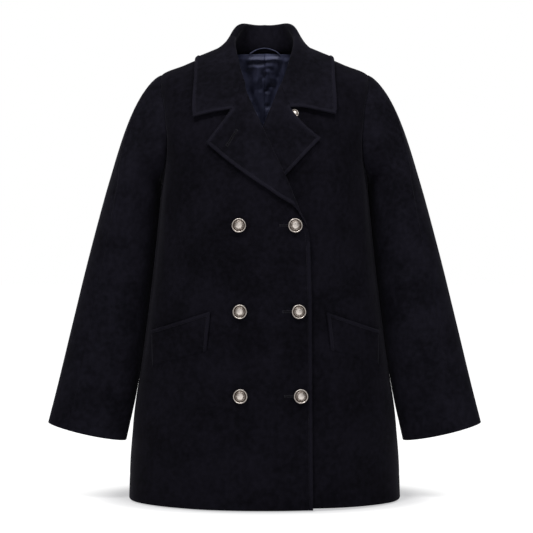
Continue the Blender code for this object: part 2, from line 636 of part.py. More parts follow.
def make_collar():
    right_end, left_end = edge_angle(-1, LEVELS[-1:])[0], edge_angle(1, LEVELS[-1:])[0]
    angle = np.concatenate((np.linspace(right_end, 180, FRONT_COLUMNS + 1),
                            np.linspace(180, 0, BACK_COLUMNS + 1)[1:],
                            np.linspace(0, left_end, FRONT_COLUMNS + 1)[1:]))
    neck = np.full(len(angle), float(NECK_LEVEL))
    seam, out = body_point(angle, neck), body_normal(angle, neck)
    up = unit(seam - body_point(angle, neck - 0.03))
    way = collar_way(angle, seam)
    mirror = np.stack((np.where(way < 0, -1, 1), np.ones(len(way)), np.ones(len(way))), -1)
    along, off = np.moveaxis(read_way(COLLAR_ROLL, np.abs(way)), -1, 0)[..., None]
    roll = seam + up * along + out * off
    edge = read_way(COLLAR_EDGE, np.abs(way)) * mirror
    round_neck = unit(np.gradient(seam, axis=0))
    start = seam - out * CLOTH / 2 + up * SEAM_GAP * 1.5
    middle = np.array([collar_section(*row) for row in zip(start, up, roll, edge, round_neck, np.abs(way))])
    ends = {-1: collar_end(-1), 1: collar_end(1)}
    plain_ends = {-1: middle[0].copy(), 1: middle[-1].copy()}
    for index, side in enumerate(np.where(way < 0, -1, 1)):
        middle[index] += abs(way[index]) ** END_REACH * (ends[side][0] - plain_ends[side])
    fall = middle[:, STAND_POINTS + 2:].reshape(-1, 3)
    on_angle, on_level = find_on_body(fall)
    near, near_normal = body_point(on_angle, on_level), body_normal(on_angle, on_level)
    height = ((fall - near) * near_normal).sum(-1)
    least = COLLAR_LIFT + np.where((near[:, 0] < 0) & (near[:, 1] < 0), front_lift(-1, near), 0)
    low = (height < least) & (on_level < NECK_LEVEL - 0.01)
    fall = np.where(low[:, None], near + near_normal * least[:, None], fall)
    middle[:, STAND_POINTS + 2:] = fall.reshape(len(middle), -1, 3)
    middle[0], middle[-1] = ends[-1][0], ends[1][0]
    normals = -grid_normals(middle)
    normals[:, 0] = -out
    normals[0], normals[-1] = ends[-1][1], ends[1][1]
    outer, inner = wall(middle, normals, FACING)
    add_sheet("collar", outer, inner, WOOL)


def collar_section(start, up, roll, edge, round_neck, way):
    """One section of the collar: up the stand, over the roll and down the fall to its edge."""
    fold = ROLL_RADIUS + BACK_FOLD * soft_step(0, 0.6, 1 - way)
    rise = roll - start
    rise = unit(rise - round_neck * (rise @ round_neck))
    away = np.cross(round_neck, rise)
    away *= np.sign(away @ (edge - start))
    centre = roll - rise * fold
    reach = np.linalg.norm(centre - start)
    stand = bezier(start, start + up * reach * 0.35, centre - away * fold - rise * reach * 0.3,
                   centre - away * fold, np.linspace(0, 1, STAND_POINTS))
    turns = np.radians(np.array((-30, 25, 90)))[:, None]
    turned = centre + fold * (rise * np.cos(turns) + away * np.sin(turns))
    drop = edge - turned[-1]
    length = np.linalg.norm(drop)
    leave = turned[-1] - rise * length * 0.22 + drop * 0.12
    arrive = edge - drop * 0.33 + away * 0.004
    fall = bezier(turned[-1], leave, arrive, edge, np.linspace(0, 1, FALL_POINTS + 1)[1:])
    return np.concatenate((stand, turned, fall))


# ---- pockets, lining, loop and buttons ------------------------------------------------------------------
def make_welt(side, word, corners):
    inner_top, inner_bottom, outer_top, outer_bottom = (np.array(corner) for corner in corners)
    across = np.linspace(0, 1, WELT_COLUMNS + 1)[None, :, None]
    up = np.linspace(0, 1, WELT_ROWS + 1)[:, None, None]
    bottom = inner_bottom * (1 - across) + outer_bottom * across
    top = inner_top * (1 - across) + outer_top * across
    flat = bottom * (1 - up) + top * up
    height = np.broadcast_to(WELT_GAP + WELT * (0.45 + 0.55 * up[..., 0]), flat.shape[:-1])
    outer, _ = on_front(side, flat, height)
    inner, _ = on_front(side, flat, np.full(flat.shape[:-1], WELT_GAP))
    add_sheet(f"pocket_welt_{word}", outer, inner, WOOL)


def make_lining(side, word):
    """Half of the back lining, on the back's own points from the neck seam down, just inside it."""
    rows = LEVELS[LINING_FIRST_ROW:].copy()
    rows[-1] -= 0.03
    first = armhole_bulge(rows, ARMHOLE_BACK) + SEAM_DEG * (armhole_bulge(rows, 1) == 0)
    share = np.linspace(0, 1, BACK_COLUMNS + 1)[:BACK_COLUMNS // 2 + 1].copy()
    share[0] += 0.3 / BACK_COLUMNS
    angle = first[:, None] + (180 - 2 * first)[:, None] * share
    angle[:, -1] -= SEAM_DEG
    angle = angle if side > 0 else 180 - angle
    level = np.repeat(rows[:, None], len(share), 1)
    points, normals = body_point(angle, level), body_normal(angle, level)
    outer = points - normals * (CLOTH + LINING_GAP)
    add_sheet(f"lining_back_{word}", outer, outer - normals * SATIN, SILK)


def add_tube(name, path, radius, sides, look):
    """A round bar along a path, with flat ends."""
    along = unit(np.gradient(path, axis=0))
    across = unit(np.cross(along, np.array((0.0, 1.0, 0.0))))
    other = np.cross(along, across)
    turns = np.linspace(0, 2 * np.pi, sides, endpoint=False)[None, :, None]
    rings = path[:, None] + radius * (across[:, None] * np.cos(turns) + other[:, None] * np.sin(turns))
    at = np.arange(len(path) * sides).reshape(len(path), sides)
    faces = [[int(at[r, s]), int(at[r, (s + 1) % sides]), int(at[r + 1, (s + 1) % sides]), int(at[r + 1, s])]
             for r in range(len(path) - 1) for s in range(sides)]
    faces += [at[0].tolist()[::-1], at[-1].tolist()]
    return add_solid(name, rings.reshape(-1, 3), faces, look)


def make_loop():
    """Arched over the neck seam, in front of the collar's stand."""
    share = np.linspace(-1, 1, 9)
    angle = 90 - share * np.degrees(LOOP_HALF_WIDTH / BODY_RINGS[-1][6])
    seam = body_point(angle, np.full(len(angle), float(NECK_LEVEL)))
    inward = body_normal(angle, np.full(len(angle), float(NECK_LEVEL)))
    inward[:, 2] = 0
    path = seam - unit(inward) * (CLOTH + FACING / 2 + LOOP_RADIUS + LOOP_SEAT)
    path[:, 2] += LOOP_HEIGHT * (1 - share ** 4) - 0.003
    add_tube("hanger_loop", path, LOOP_RADIUS, LOOP_SIDES, SILK)


def make_button(name, seat, normal, radius):
    """A turned metal button: shank, plate, raised rim, groove and dome."""
    side = unit(np.cross(np.array((0.0, 0.0, 1.0)), normal))
    up = np.cross(normal, side)
    turns = np.linspace(0, 2 * np.pi, BUTTON_SIDES, endpoint=False)[:, None]
    points = [seat]
    for share, height in BUTTON_PROFILE[1:-1]:
        ring = side * np.cos(turns) + up * np.sin(turns)
        points.extend(seat + normal * height * radius + ring * share * radius)
    points.append(seat + normal * BUTTON_PROFILE[-1][1] * radius)
    rings = len(BUTTON_PROFILE) - 2
    faces = [[0, 1 + k, 1 + (k + 1) % BUTTON_SIDES] for k in range(BUTTON_SIDES)]
    for ring in range(rings - 1):
        for k in range(BUTTON_SIDES):
            here, after = 1 + ring * BUTTON_SIDES, 1 + (ring + 1) * BUTTON_SIDES
            next_k = (k + 1) % BUTTON_SIDES
            faces.append([here + k, here + next_k, after + next_k, after + k])
    last = 1 + (rings - 1) * BUTTON_SIDES
    faces += [[last + k, last + (k + 1) % BUTTON_SIDES, len(points) - 1] for k in range(BUTTON_SIDES)]
    add_solid(name, points, faces, METAL)


def make_buttons():
    number = 1
    for z, x_right, x_left in BUTTONS:
        for x in (x_right, x_left):
            seat, normal = on_front(-1, np.array(((x, z),)), np.array((SEAM_GAP,)))
            make_button(f"button_{number}", seat[0], normal[0], BUTTON_RADIUS)
            number += 1
    seat, normal = on_front(1, np.array((LAPEL_BUTTON_AT,)), np.array((LAPEL_LIFT + FACING / 2 + SEAM_GAP,)))
    make_button("button_lapel", seat[0], normal[0], LAPEL_BUTTON_RADIUS)


def main():
    for thing in list(bpy.data.objects):
        bpy.data.objects.remove(thing, do_unlink=True)
    make_back()
    for side, word in ((-1, "right"), (1, "left")):
        make_front(side, word)
        make_lapel(side, word)
        make_sleeve(side, word)
        make_lining(side, word)
    make_welt(-1, "right", RIGHT_POCKET)
    make_welt(1, "left", LEFT_POCKET)
    make_collar()
    make_loop()
    make_buttons()


main()
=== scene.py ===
# %% [markdown]
# # A short double-breasted wool overcoat
# The coat is filled out by an unseen wearer. Its body is one surface, a stack of smooth rings, and every panel,
# lapel and collar is cut from that surface, so that neighbours meet at their seams. This lesson loads the
# packed solids as a fixed frame and then sews the fine cloth over them.

# %% Load the frame
import math

import bmesh
import bpy
import numpy as np
from mathutils import Matrix


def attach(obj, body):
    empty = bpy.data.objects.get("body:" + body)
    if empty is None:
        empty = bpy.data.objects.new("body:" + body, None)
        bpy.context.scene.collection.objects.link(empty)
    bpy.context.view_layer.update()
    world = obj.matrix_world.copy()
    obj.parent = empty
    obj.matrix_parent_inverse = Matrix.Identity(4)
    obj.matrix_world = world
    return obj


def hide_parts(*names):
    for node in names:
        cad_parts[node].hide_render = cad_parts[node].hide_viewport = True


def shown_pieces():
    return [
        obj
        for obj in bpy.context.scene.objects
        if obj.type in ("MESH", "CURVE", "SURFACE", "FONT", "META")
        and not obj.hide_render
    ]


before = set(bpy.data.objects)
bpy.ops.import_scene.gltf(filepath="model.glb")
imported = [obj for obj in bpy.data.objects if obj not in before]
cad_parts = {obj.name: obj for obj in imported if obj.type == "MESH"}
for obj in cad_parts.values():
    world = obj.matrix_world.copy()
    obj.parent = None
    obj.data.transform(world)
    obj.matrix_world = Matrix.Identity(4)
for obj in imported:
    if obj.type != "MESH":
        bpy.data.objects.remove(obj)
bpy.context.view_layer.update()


def add_object(name, data):
    """Put a camera, a light or a mesh into the scene."""
    made = bpy.data.objects.new(name, data)
    bpy.context.scene.collection.objects.link(made)
    return made


def add_mesh(name, points, faces):
    mesh = bpy.data.meshes.new(name)
    mesh.from_pydata(np.asarray(points, float).tolist(), [], faces)
    mesh.shade_smooth()
    return mesh


# %% [markdown]
# ## The camera
# The picture is 533 pixels square, and one pixel is 1.8 mm of the coat's middle plane. The camera stands level,
# 2.7 m in front of the coat and at half its height, so the lens follows from those three numbers.

# %% Camera
PICTURE = 533
METRES_PER_PIXEL = 0.0018
CAMERA_AWAY = 2.7
CAMERA_ASIDE = 0.0034
CAMERA_HEIGHT = -0.3886
SENSOR = 36.0
camera = add_object("camera", bpy.data.cameras.new("camera"))
camera.location = (CAMERA_ASIDE, -CAMERA_AWAY, CAMERA_HEIGHT)
camera.rotation_euler = (math.pi / 2, 0, 0)
camera.data.sensor_width = SENSOR
camera.data.lens = SENSOR / (PICTURE * METRES_PER_PIXEL) * CAMERA_AWAY
camera.data.clip_start = 0.05
bpy.context.scene.camera = camera
print("lens", round(camera.data.lens, 2), "mm")

# %% [markdown]
# ## The body's rings
# A pattern cutter measures a coat at a few heights. Each row below is one such ring, from the hem up to the neck:
# its height at the side, the centre front and the centre back, its half width, how far it reaches to the front
# and to the back, and how square it is (2 is an ellipse). +X is the wearer's left and -Y is the front.

# %% Rings of the body
HALF_WIDTH, SQUARE = 4, 7    # columns that are also read alone
BODY_RINGS = (               # name, z at side, front and back, half width, front and back depth, square
    ("hem",        -0.801, -0.801, -0.801, 0.2430, 0.1700, 0.1500, 2.15),
    ("skirt",      -0.720, -0.720, -0.720, 0.2398, 0.1670, 0.1480, 2.22),
    ("thigh",      -0.640, -0.640, -0.640, 0.2315, 0.1635, 0.1455, 2.30),
    ("hip",        -0.560, -0.560, -0.560, 0.2182, 0.1600, 0.1420, 2.38),
    ("high_hip",   -0.480, -0.480, -0.480, 0.2070, 0.1565, 0.1370, 2.42),
    ("waist",      -0.400, -0.400, -0.400, 0.1970, 0.1535, 0.1320, 2.45),
    ("rib",        -0.3214, -0.3214, -0.3214, 0.1886, 0.1515, 0.1285, 2.48),
    ("chest",      -0.262, -0.264, -0.262, 0.1833, 0.1500, 0.1275, 2.50),
    ("underarm",   -0.213, -0.222, -0.215, 0.1800, 0.1480, 0.1270, 2.52),
    ("armhole",    -0.158, -0.187, -0.170, 0.1845, 0.1430, 0.1250, 2.55),
    ("across",     -0.102, -0.160, -0.118, 0.1895, 0.1370, 0.1180, 2.50),
    ("shoulder",   -0.0495, -0.132, -0.066, 0.1885, 0.1310, 0.1060, 2.30),
    ("yoke",       -0.0260, -0.112, -0.030, 0.1410, 0.1265, 0.0920, 2.30),
    ("neck",        0.0020, -0.096, 0.007, 0.0750, 0.1240, 0.0780, 2.00),
)
BREAK_LEVEL = 6              # the lapels turn back from here up
UNDERARM_LEVEL = 7.82
SHOULDER_LEVEL = 11.14
NECK_LEVEL = len(BODY_RINGS) - 1
CLOTH = 0.0028               # melton wool
FACING = 0.0034              # lapels and collar: two layers
ARMHOLE_RISE = SHOULDER_LEVEL - UNDERARM_LEVEL
SEAM_GAP = 0.0003            # between a piece and what it lies on
SEWN_GAP = 0.00002           # between edges that are sewn together, so that no light shows through
SEWN_DEGREES = 0.003         # the same at the side seams, as half an angle round the body
FAR = 1.0                    # a distance at which no edge or seam has any effect
print("rings:", ", ".join(row[0] for row in BODY_RINGS))


def hermite(part, start, slope_in, end, slope_out):
    """A smooth curve between two values with given slopes, as part goes from 0 to 1."""
    square, cube = part ** 2, part ** 3
    return ((2 * cube - 3 * square + 1) * start + (cube - 2 * square + part) * slope_in
            + (3 * square - 2 * cube) * end + (cube - square) * slope_out)


def smooth_column(table, column, level):
    """One column of a table of rings, read smoothly at a level between two rows."""
    values = np.array([row[column] for row in table], float)
    level = np.clip(np.asarray(level, float), 0, len(values) - 1)
    low = np.clip(level.astype(int), 0, len(values) - 2)
    padded = np.concatenate(([2 * values[0] - values[1]], values, [2 * values[-1] - values[-2]]))
    before, start, end, after = (padded[low + k] for k in range(4))
    return hermite(level - low, start, (end - before) / 2, end, (after - start) / 2)


def smooth_columns(table, level):
    """All columns of a table but the first."""
    return [smooth_column(table, column, level) for column in range(1, len(table[0]))]


def unit(vectors):
    return vectors / np.maximum(np.linalg.norm(vectors, axis=-1, keepdims=True), 1e-12)


def soft_step(low, high, value):
    part = np.clip((value - low) / (high - low), 0, 1)
    return part * part * (3 - 2 * part)


def smooth_line(x, marks, values):
    """A smooth curve through a table of uneven marks, so that an edge has no corners at its rows."""
    marks, values = np.asarray(marks, float), np.asarray(values, float)
    slopes = np.gradient(values, marks)
    x = np.clip(x, marks[0], marks[-1])
    low = np.clip(np.searchsorted(marks, x, side="right") - 1, 0, len(marks) - 2)
    width = marks[low + 1] - marks[low]
    return hermite((x - marks[low]) / width, values[low], slopes[low] * width,
                   values[low + 1], slopes[low + 1] * width)


# %% [markdown]
# ## Folds and creases
# Heavy wool falls in a few broad folds and hardly creases. The broad folds belong to the pattern and run down to
# the hem. The creases are listed, each as a soft ridge (positive) or trough (negative) along a line
# between two places on the body, uneven in length, depth and spacing. Drawing them one by one, instead of with a
# noise, keeps them where a worn coat has them: under the arms, over the pockets and across the back. The last four
# fill the body out just in front of each side seam, where it nearly meets the sleeve that hangs beside it.

# %% Folds and creases of the body
BODY_FOLDS = (               # angle, half width in degrees, height at the hem, level at which it has died away
    (28, 13, 0.0050, 4.6),
    (61, 12, -0.0040, 4.0),
    (90, 13, 0.0035, 3.4),
    (121, 12, -0.0045, 4.2),
    (152, 13, 0.0050, 4.8),
    (204, 10, 0.0020, 2.6),
    (335, 10, 0.0025, 2.8),
)
METRES_PER_DEGREE = 0.0031
METRES_PER_LEVEL = 0.075
BODY_CREASES = (             # from angle, from level, to angle, to level, half width in metres, height
    (214, 9.6, 226, 7.4, 0.016, 0.0012),
    (209, 8.4, 221, 5.6, 0.018, -0.0011),
    (205, 7.2, 216, 4.2, 0.014, 0.0010),
    (222, 5.2, 226, 0.4, 0.022, -0.0010),
    (236, 4.6, 238, 0.0, 0.020, 0.0008),
    (252, 3.8, 251, 0.0, 0.024, -0.0007),
    (326, 9.7, 313, 7.2, 0.016, 0.0011),
    (331, 8.3, 319, 5.4, 0.018, -0.0012),
    (336, 7.0, 325, 4.0, 0.014, 0.0010),
    (317, 5.0, 314, 0.3, 0.022, -0.0010),
    (303, 4.4, 300, 0.0, 0.021, 0.0008),
    (288, 3.4, 288, 0.0, 0.024, -0.0006),
    (52, 10.6, 70, 8.2, 0.015, 0.0016),
    (44, 9.2, 66, 7.0, 0.013, -0.0014),
    (38, 8.0, 60, 6.2, 0.014, 0.0013),
    (128, 10.6, 111, 8.3, 0.015, 0.0015),
    (137, 9.3, 115, 7.1, 0.013, -0.0014),
    (142, 7.9, 121, 6.1, 0.014, 0.0013),
    (64, 5.9, 92, 5.3, 0.012, -0.0012),
    (96, 5.6, 124, 6.0, 0.013, -0.0011),
    (70, 6.6, 104, 6.2, 0.015, 0.0010),
    (76, 11.6, 104, 11.7, 0.010, -0.0008),
    (12, 6.9, 24, 5.2, 0.012, 0.0012),
    (168, 6.9, 157, 5.1, 0.012, 0.0012),
    (351, 8.9, 351, 1.7, 0.012, 0.0029),
    (189, 8.9, 189, 1.7, 0.012, 0.0029),
    (352, 9.0, 352, 7.4, 0.011, 0.0016),
    (188, 9.0, 188, 7.4, 0.011, 0.0016),
)


def away_from(angle, at):
    """The shorter way round from one angle to another, in degrees."""
    return (angle - at + 180) % 360 - 180


def along_crease(x, z, step_x, step_z):
    """Share of the way along a crease, the distance beside it and the distance past its ends."""
    length = math.hypot(step_x, step_z)
    share = (x * step_x + z * step_z) / length ** 2
    return share, (x * step_z - z * step_x) / length, np.clip(np.abs(share - 0.5) - 0.5, 0, None) * length


def crease_height(angle, level, creases, around, along):
    """The sum of the listed creases; around and along turn degrees and levels into metres."""
    total = np.zeros(np.broadcast(angle, level).shape)
    for from_angle, from_level, to_angle, to_level, half_width, height in creases:
        share, aside, past = along_crease(away_from(angle, from_angle) * around, (level - from_level) * along,
                                          (to_angle - from_angle) * around, (to_level - from_level) * along)
        fade = 0.25 + 0.75 * np.sin(np.pi * np.clip(share, 0, 1)) ** 0.7
        total = total + height * fade * np.exp(-(aside / half_width) ** 2 - (past / half_width) ** 2)
    return total


def body_fold(angle, level):
    """How far the cloth stands out of the smooth rings."""
    total = crease_height(angle, level, BODY_CREASES, METRES_PER_DEGREE, METRES_PER_LEVEL)
    for at, half_width, height, top in BODY_FOLDS:
        away = away_from(angle, at)
        total = total + height * np.exp(-(away / half_width) ** 2) * np.clip(1 - level / top, 0, 1) ** 2
    return total


def body_point(angle, level):
    """Points of the coat's outer surface: 0 degrees is the left side, 90 the centre back, 270 the front."""
    z_side, z_front, z_back, width, front, back, square = smooth_columns(BODY_RINGS, level)
    turn = np.radians(angle)
    cosine, sine = np.cos(turn), np.sin(turn)
    reach = (np.abs(cosine) ** square + np.abs(sine) ** square) ** (-1 / square)
    depth = np.where(sine < 0, front, back)
    z_far = np.where(sine < 0, z_front, z_back)
    fold = body_fold(angle, level)
    return np.stack((width * reach * cosine + fold * cosine, depth * reach * sine + fold * sine,
                     z_side + (z_far - z_side) * sine ** 2), -1)


ANGLE_STEP = 0.3             # degrees and levels over which slopes are measured
LEVEL_STEP = 0.002


def round_body(angle, level):
    return body_point(angle + ANGLE_STEP, level) - body_point(angle - ANGLE_STEP, level)


def body_normal(angle, level):
    level = np.clip(level, LEVEL_STEP, NECK_LEVEL - LEVEL_STEP)
    up = body_point(angle, level + LEVEL_STEP) - body_point(angle, level - LEVEL_STEP)
    return unit(np.cross(round_body(angle, level), up))


def body_at(angle, level):
    """Points of the outer surface and the ways out of it."""
    return body_point(angle, level), body_normal(angle, level)


hem_round = body_point(np.linspace(0, 360, 361), np.zeros(361))
print("hem is", round(float(np.linalg.norm(np.diff(hem_round, axis=0), axis=1).sum()), 3), "m round")

# %% [markdown]
# ## Seating a point on the body
# Lapels, collar, pockets and buttons lie on the coat. Each is drawn flat, as it is seen from the front, and its
# points are then seated on the surface and lifted by the thickness of what lies between. A coarse search finds
# the nearest ring and angle, and a few Newton steps refine them, which is faster and smoother than casting rays.

# %% Find places on the body
NEWTON_STEPS = 12


def find_on_body(targets, weights=(1.0, 1.0, 1.0), front_only=False):
    """Angle and level of the surface point nearest to each target; a weight of 0 leaves that axis free."""
    targets = np.asarray(targets, float).reshape(-1, 3)
    weights = np.array(weights)
    around = np.arange(182, 360, 4.0) if front_only else np.arange(180, 540, 5.0)
    angles, levels = np.meshgrid(around, np.linspace(0, NECK_LEVEL, 4 * NECK_LEVEL + 1), indexing="ij")
    angles, levels = angles.ravel(), levels.ravel()
    known = body_point(angles, levels)
    some_at_once = range(0, len(targets), 500)
    best = np.concatenate([(((known[None] - targets[first:first + 500, None]) * weights) ** 2).sum(-1).argmin(1)
                           for first in some_at_once])
    angle, level = angles[best], levels[best]
    for _ in range(NEWTON_STEPS):
        miss = (targets - body_point(angle, level)) * weights
        side_step = round_body(angle, level) / (2 * ANGLE_STEP) * weights
        upper, lower = np.minimum(level + LEVEL_STEP, NECK_LEVEL), np.maximum(level - LEVEL_STEP, 0)
        up = (body_point(angle, upper) - body_point(angle, lower)) / (upper - lower)[:, None] * weights
        a, b, c = (side_step ** 2).sum(-1) + 1e-10, (side_step * up).sum(-1), (up ** 2).sum(-1) + 1e-10
        p, q = (side_step * miss).sum(-1), (up * miss).sum(-1)
        size = np.maximum(a * c - b * b, 1e-16)
        angle = angle + np.clip((c * p - b * q) / size, -4, 4)
        level = np.clip(level + np.clip((a * q - b * p) / size, -0.3, 0.3), 0, NECK_LEVEL)
    return angle, level


# %% [markdown]
# ## Edges of the two fronts
# The wearer's right front laps over the left one. Each front has a free edge below the break, and above it the
# roll line where its lapel turns back. The tables give both as height and sideways place.

# %% Front edges
RIGHT_FRONT_EDGE = ((-0.801, 0.0812), (-0.640, 0.0802), (-0.500, 0.0795), (-0.434, 0.0790),
                    (-0.393, 0.0772), (-0.352, 0.0750), (-0.330, 0.0730), (-0.312, 0.0648),
                    (-0.298, 0.0566), (-0.2846, 0.0506), (-0.244, 0.0346), (-0.2042, 0.0156),
                    (-0.1774, 0.0033), (-0.1495, -0.0092), (-0.1061, -0.0281), (-0.0824, -0.0366),
                    (-0.055, -0.0372))
LEFT_FRONT_EDGE = ((-0.801, -0.0684), (-0.640, -0.0670), (-0.480, -0.0645), (-0.3214, -0.0617),
                   (-0.285, -0.0470), (-0.2287, -0.0265), (-0.1894, -0.0118), (-0.1498, 0.0020),
                   (-0.1103, 0.0175), (-0.0785, 0.0300), (-0.068, 0.0345))
OVERLAP_LIFT = 0.0040        # of the right front where it lies on the left one
LAPEL_PAD = 0.0056           # further lift where the left lapel lies between them
LIFT_SPREAD = (-0.088, -0.006)
HEM_RAISE = 0.05
ARMHOLE_FRONT = 29.0
ARMHOLE_BACK = 27.0
ARMHOLE_SQUARE = 2.4


def edge_place(side, z):
    """How far to the side a front's edge lies at a height; side is 1 on the left and -1 on the right."""
    heights, places = np.array(RIGHT_FRONT_EDGE if side < 0 else LEFT_FRONT_EDGE).T
    return smooth_line(z, heights, places)


def edge_angle(side, level):
    width, square = smooth_column(BODY_RINGS, HALF_WIDTH, level), smooth_column(BODY_RINGS, SQUARE, level)
    x = np.zeros_like(level) + 0.05
    for _ in range(NEWTON_STEPS):
        share = np.clip(side * x / width, -0.999, 0.999)
        away = np.degrees(np.arctan2((1 - np.abs(share) ** square) ** (1 / square), share))
        angle = -away if side > 0 else 180 + away
        x = edge_place(side, body_point(angle, level)[..., 2])
    return angle


def front_lift(side, points):
    """How far a front is lifted by what lies under it: only the right one lies on something."""
    if side > 0:
        return np.zeros(points.shape[:-1])
    x, z = points[..., 0], points[..., 2]
    past_edge = x - edge_place(1, z)
    over_lapel = soft_step(-0.420, -0.335, z)
    crossing = 1 - soft_step(-0.135, -0.082, z)
    return soft_step(*LIFT_SPREAD, past_edge) * crossing * (OVERLAP_LIFT + LAPEL_PAD * over_lapel)


def armhole_bulge(level, half_angle):
    height = np.clip((level - UNDERARM_LEVEL) / ARMHOLE_RISE, 0, 1)
    return half_angle * (1 - np.abs(2 * height - 1) ** ARMHOLE_SQUARE) ** (1 / ARMHOLE_SQUARE)


def on_front(side, flat, lift):
    """Seat points given as (x, z) on a front, lifted off it; also returns the way out of the cloth."""
    targets = np.stack((flat[..., 0], np.zeros(flat.shape[:-1]), flat[..., 1]), -1)
    angle, level = find_on_body(targets, (1, 0, 1), front_only=True)
    points, normals = (grid.reshape(targets.shape) for grid in body_at(angle, level))
    return points + normals * (front_lift(side, points) + lift)[..., None], normals


print("the right front reaches", edge_place(-1, np.array([-0.6]))[0].round(4), "m past the centre")

# %% [markdown]
# ## From a grid of points to a piece of cloth
# Every piece is a grid of points on its outer face, thickened along its normals into a closed thin wall. A real
# coat edge is not sharp: the cloth is turned in, pressed and stitched a few millimetres from the edge, so it
# rounds over, swells a little and sinks under the stitches. At a plain seam it sinks into the joint instead.
# Both effects depend only on how far a point lies from the edge, so the grids are dense near their edges.

# %% Edge profiles
EDGE_MARKS = np.array((0, 0.0002, 0.0005, 0.0009, 0.0014, 0.0022, 0.0033, 0.0045, 0.0055, 0.0061, 0.0066,
                       0.0071, 0.0078, 0.0092, 0.0115))
STITCH_MARK = 10             # which of them carries the topstitching
SEAM_MARKS = np.array((0, 0.0003, 0.0008, 0.0015, 0.0025, 0.0040, 0.0060, 0.0085))
EDGE_SWELL = 0.0010          # the rounded ridge between an edge and its stitches
SWELL_MIDDLE = 0.0036
STITCH_SINK = 0.0008         # the groove that the stitches pull
SEAM_SINK = 0.0006           # how far the cloth dips at a plain seam
EDGE_CURL = 0.0028           # the free edges of heavy wool stand off a little
CURL_REACH = 0.020
WOOL, SILK, METAL = "wool", "satin", "button_metal"


def spread(length, start, end, count):
    """Places along a line of a given length: dense at both ends, even between them."""
    room = start[-1] + end[-1]
    squeeze = min(1.0, 0.7 * length / room)
    start, end = start * squeeze, end * squeeze
    between = np.linspace(start[-1], length - end[-1], count + 2)[1:-1]
    return np.concatenate((start, between, length - end[::-1]))


def run_length(points, axis):
    """How far along the grid each point lies, in metres."""
    steps = np.linalg.norm(np.diff(points, axis=axis), axis=-1)
    start = np.zeros_like(np.take(steps, [0], axis=axis))
    return np.cumsum(np.concatenate((start, steps), axis=axis), axis=axis)


def ridge_highlight_mask(stitched):
    """How much a point gets the painted highlight of the ridge between an edge and its stitches, from 0 to 1."""
    return np.exp(-((stitched - 0.0033) / 0.0029) ** 4)


def edge_curl(free):
    """How far an edge stands off what it lies on."""
    return EDGE_CURL * np.clip(1 - free / CURL_REACH, 0, 1) ** 2


def both_faces(outer, normals, thickness, free, stitched=FAR, seam=FAR):
    """Outer and inner face of a cloth; the distances are to its free edges, stitched edges and seams."""
    half = thickness / 2
    inset = np.clip(1 - free / half, 0, 1)
    rounding = half * (1 - np.sqrt(np.clip(1 - inset ** 2, 0.02, 1)))
    swell = EDGE_SWELL * np.exp(-((stitched - SWELL_MIDDLE) / 0.0022) ** 2)
    sink = STITCH_SINK * np.exp(-((stitched - EDGE_MARKS[STITCH_MARK]) / 0.0007) ** 2)
    dip = SEAM_SINK * np.exp(-(seam / 0.0017) ** 1.5)
    top = outer + normals * (swell - sink - rounding - dip)[..., None]
    bottom = outer - normals * (thickness - rounding)[..., None]
    return top, bottom


def new_piece(name, mesh, node=None, matrix=None):
    """Put a mesh into the scene as a piece that rides on the coat's one body and stands for one node."""
    piece = add_object(name, mesh)
    if matrix is not None:
        piece.matrix_world = matrix
    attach(piece, "root")
    if node:
        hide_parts(node)
    return piece


def sew(node, top, bottom, rubbed=None, kind=WOOL):
    """Close two faces into one thin wall that stands for a node; the mask after the faces says where a highlight is
    painted on its outer face.
    """
    name = ("cloth_" if kind == WOOL else "satin_") + node
    rows, columns = top.shape[:2]
    at = np.arange(rows * columns).reshape(rows, columns)
    under = at + rows * columns
    quads = np.stack((at[:-1, :-1], at[:-1, 1:], at[1:, 1:], at[1:, :-1]), -1).reshape(-1, 4)
    border = np.concatenate((at[0], at[1:, -1], at[-1, -2::-1], at[-2:0:-1, 0]))
    after = np.roll(border, -1)
    sides = np.stack((after, border, border + rows * columns, after + rows * columns), -1)
    faces = np.concatenate((quads, under.reshape(-1)[quads][:, ::-1], sides))
    mesh = add_mesh(name, np.concatenate((top.reshape(-1, 3), bottom.reshape(-1, 3))), faces.tolist())
    made = bmesh.new()
    made.from_mesh(mesh)
    bmesh.ops.recalc_face_normals(made, faces=made.faces)
    if made.calc_volume(signed=True) < 0:
        bmesh.ops.reverse_faces(made, faces=made.faces)
    made.to_mesh(mesh)
    made.free()
    mesh.shade_smooth()
    # The mask of the painted highlight on the pressed edges goes on the outer face's points, for the wool to
    # lighten.
    if rubbed is not None:
        highlight_layer = mesh.attributes.new("rubbed", "FLOAT", "POINT")
        highlight_layer.data.foreach_set("value", np.concatenate((rubbed.ravel(), np.zeros(rubbed.size))).astype(np.float32))
    return new_piece(name, mesh, node)


def ring_faces(count, sides):
    """Point numbers of a stack of closed rings, and the faces between them."""
    at = np.arange(count * sides).reshape(count, sides)
    around = np.roll(at, -1, axis=1)
    return at, np.stack((at[:-1], around[:-1], around[1:], at[1:]), -1).reshape(-1, 4)


def cloth_area(points):
    """Area of a grid of points, which is the area of the cut piece."""
    across = points[:-1, 1:] - points[:-1, :-1]
    down = points[1:, :-1] - points[:-1, :-1]
    return float(np.linalg.norm(np.cross(across, down), axis=-1).sum())


def declare(piece, points, width, length):
    """Say what the piece was cut from: width and length of the cloth, and the area of its pattern."""
    area = min(cloth_area(points), width * length)
    print(f"{piece.name}: {len(piece.data.polygons)} faces, cut {width:.2f} x {length:.2f} m, {area:.3f} m2")


# %% [markdown]
# ## The armhole
# The armhole is a closed loop on the body: 0 degrees at the point of the shoulder, 90 in front, 180 under the
# arm. Body and sleeve are mitred there, so both share one seam line on the outside and one on the inside.

# %% Armhole
MITRE_REACH = 0.009          # how far from the seam the inner faces start to bend to the mitre


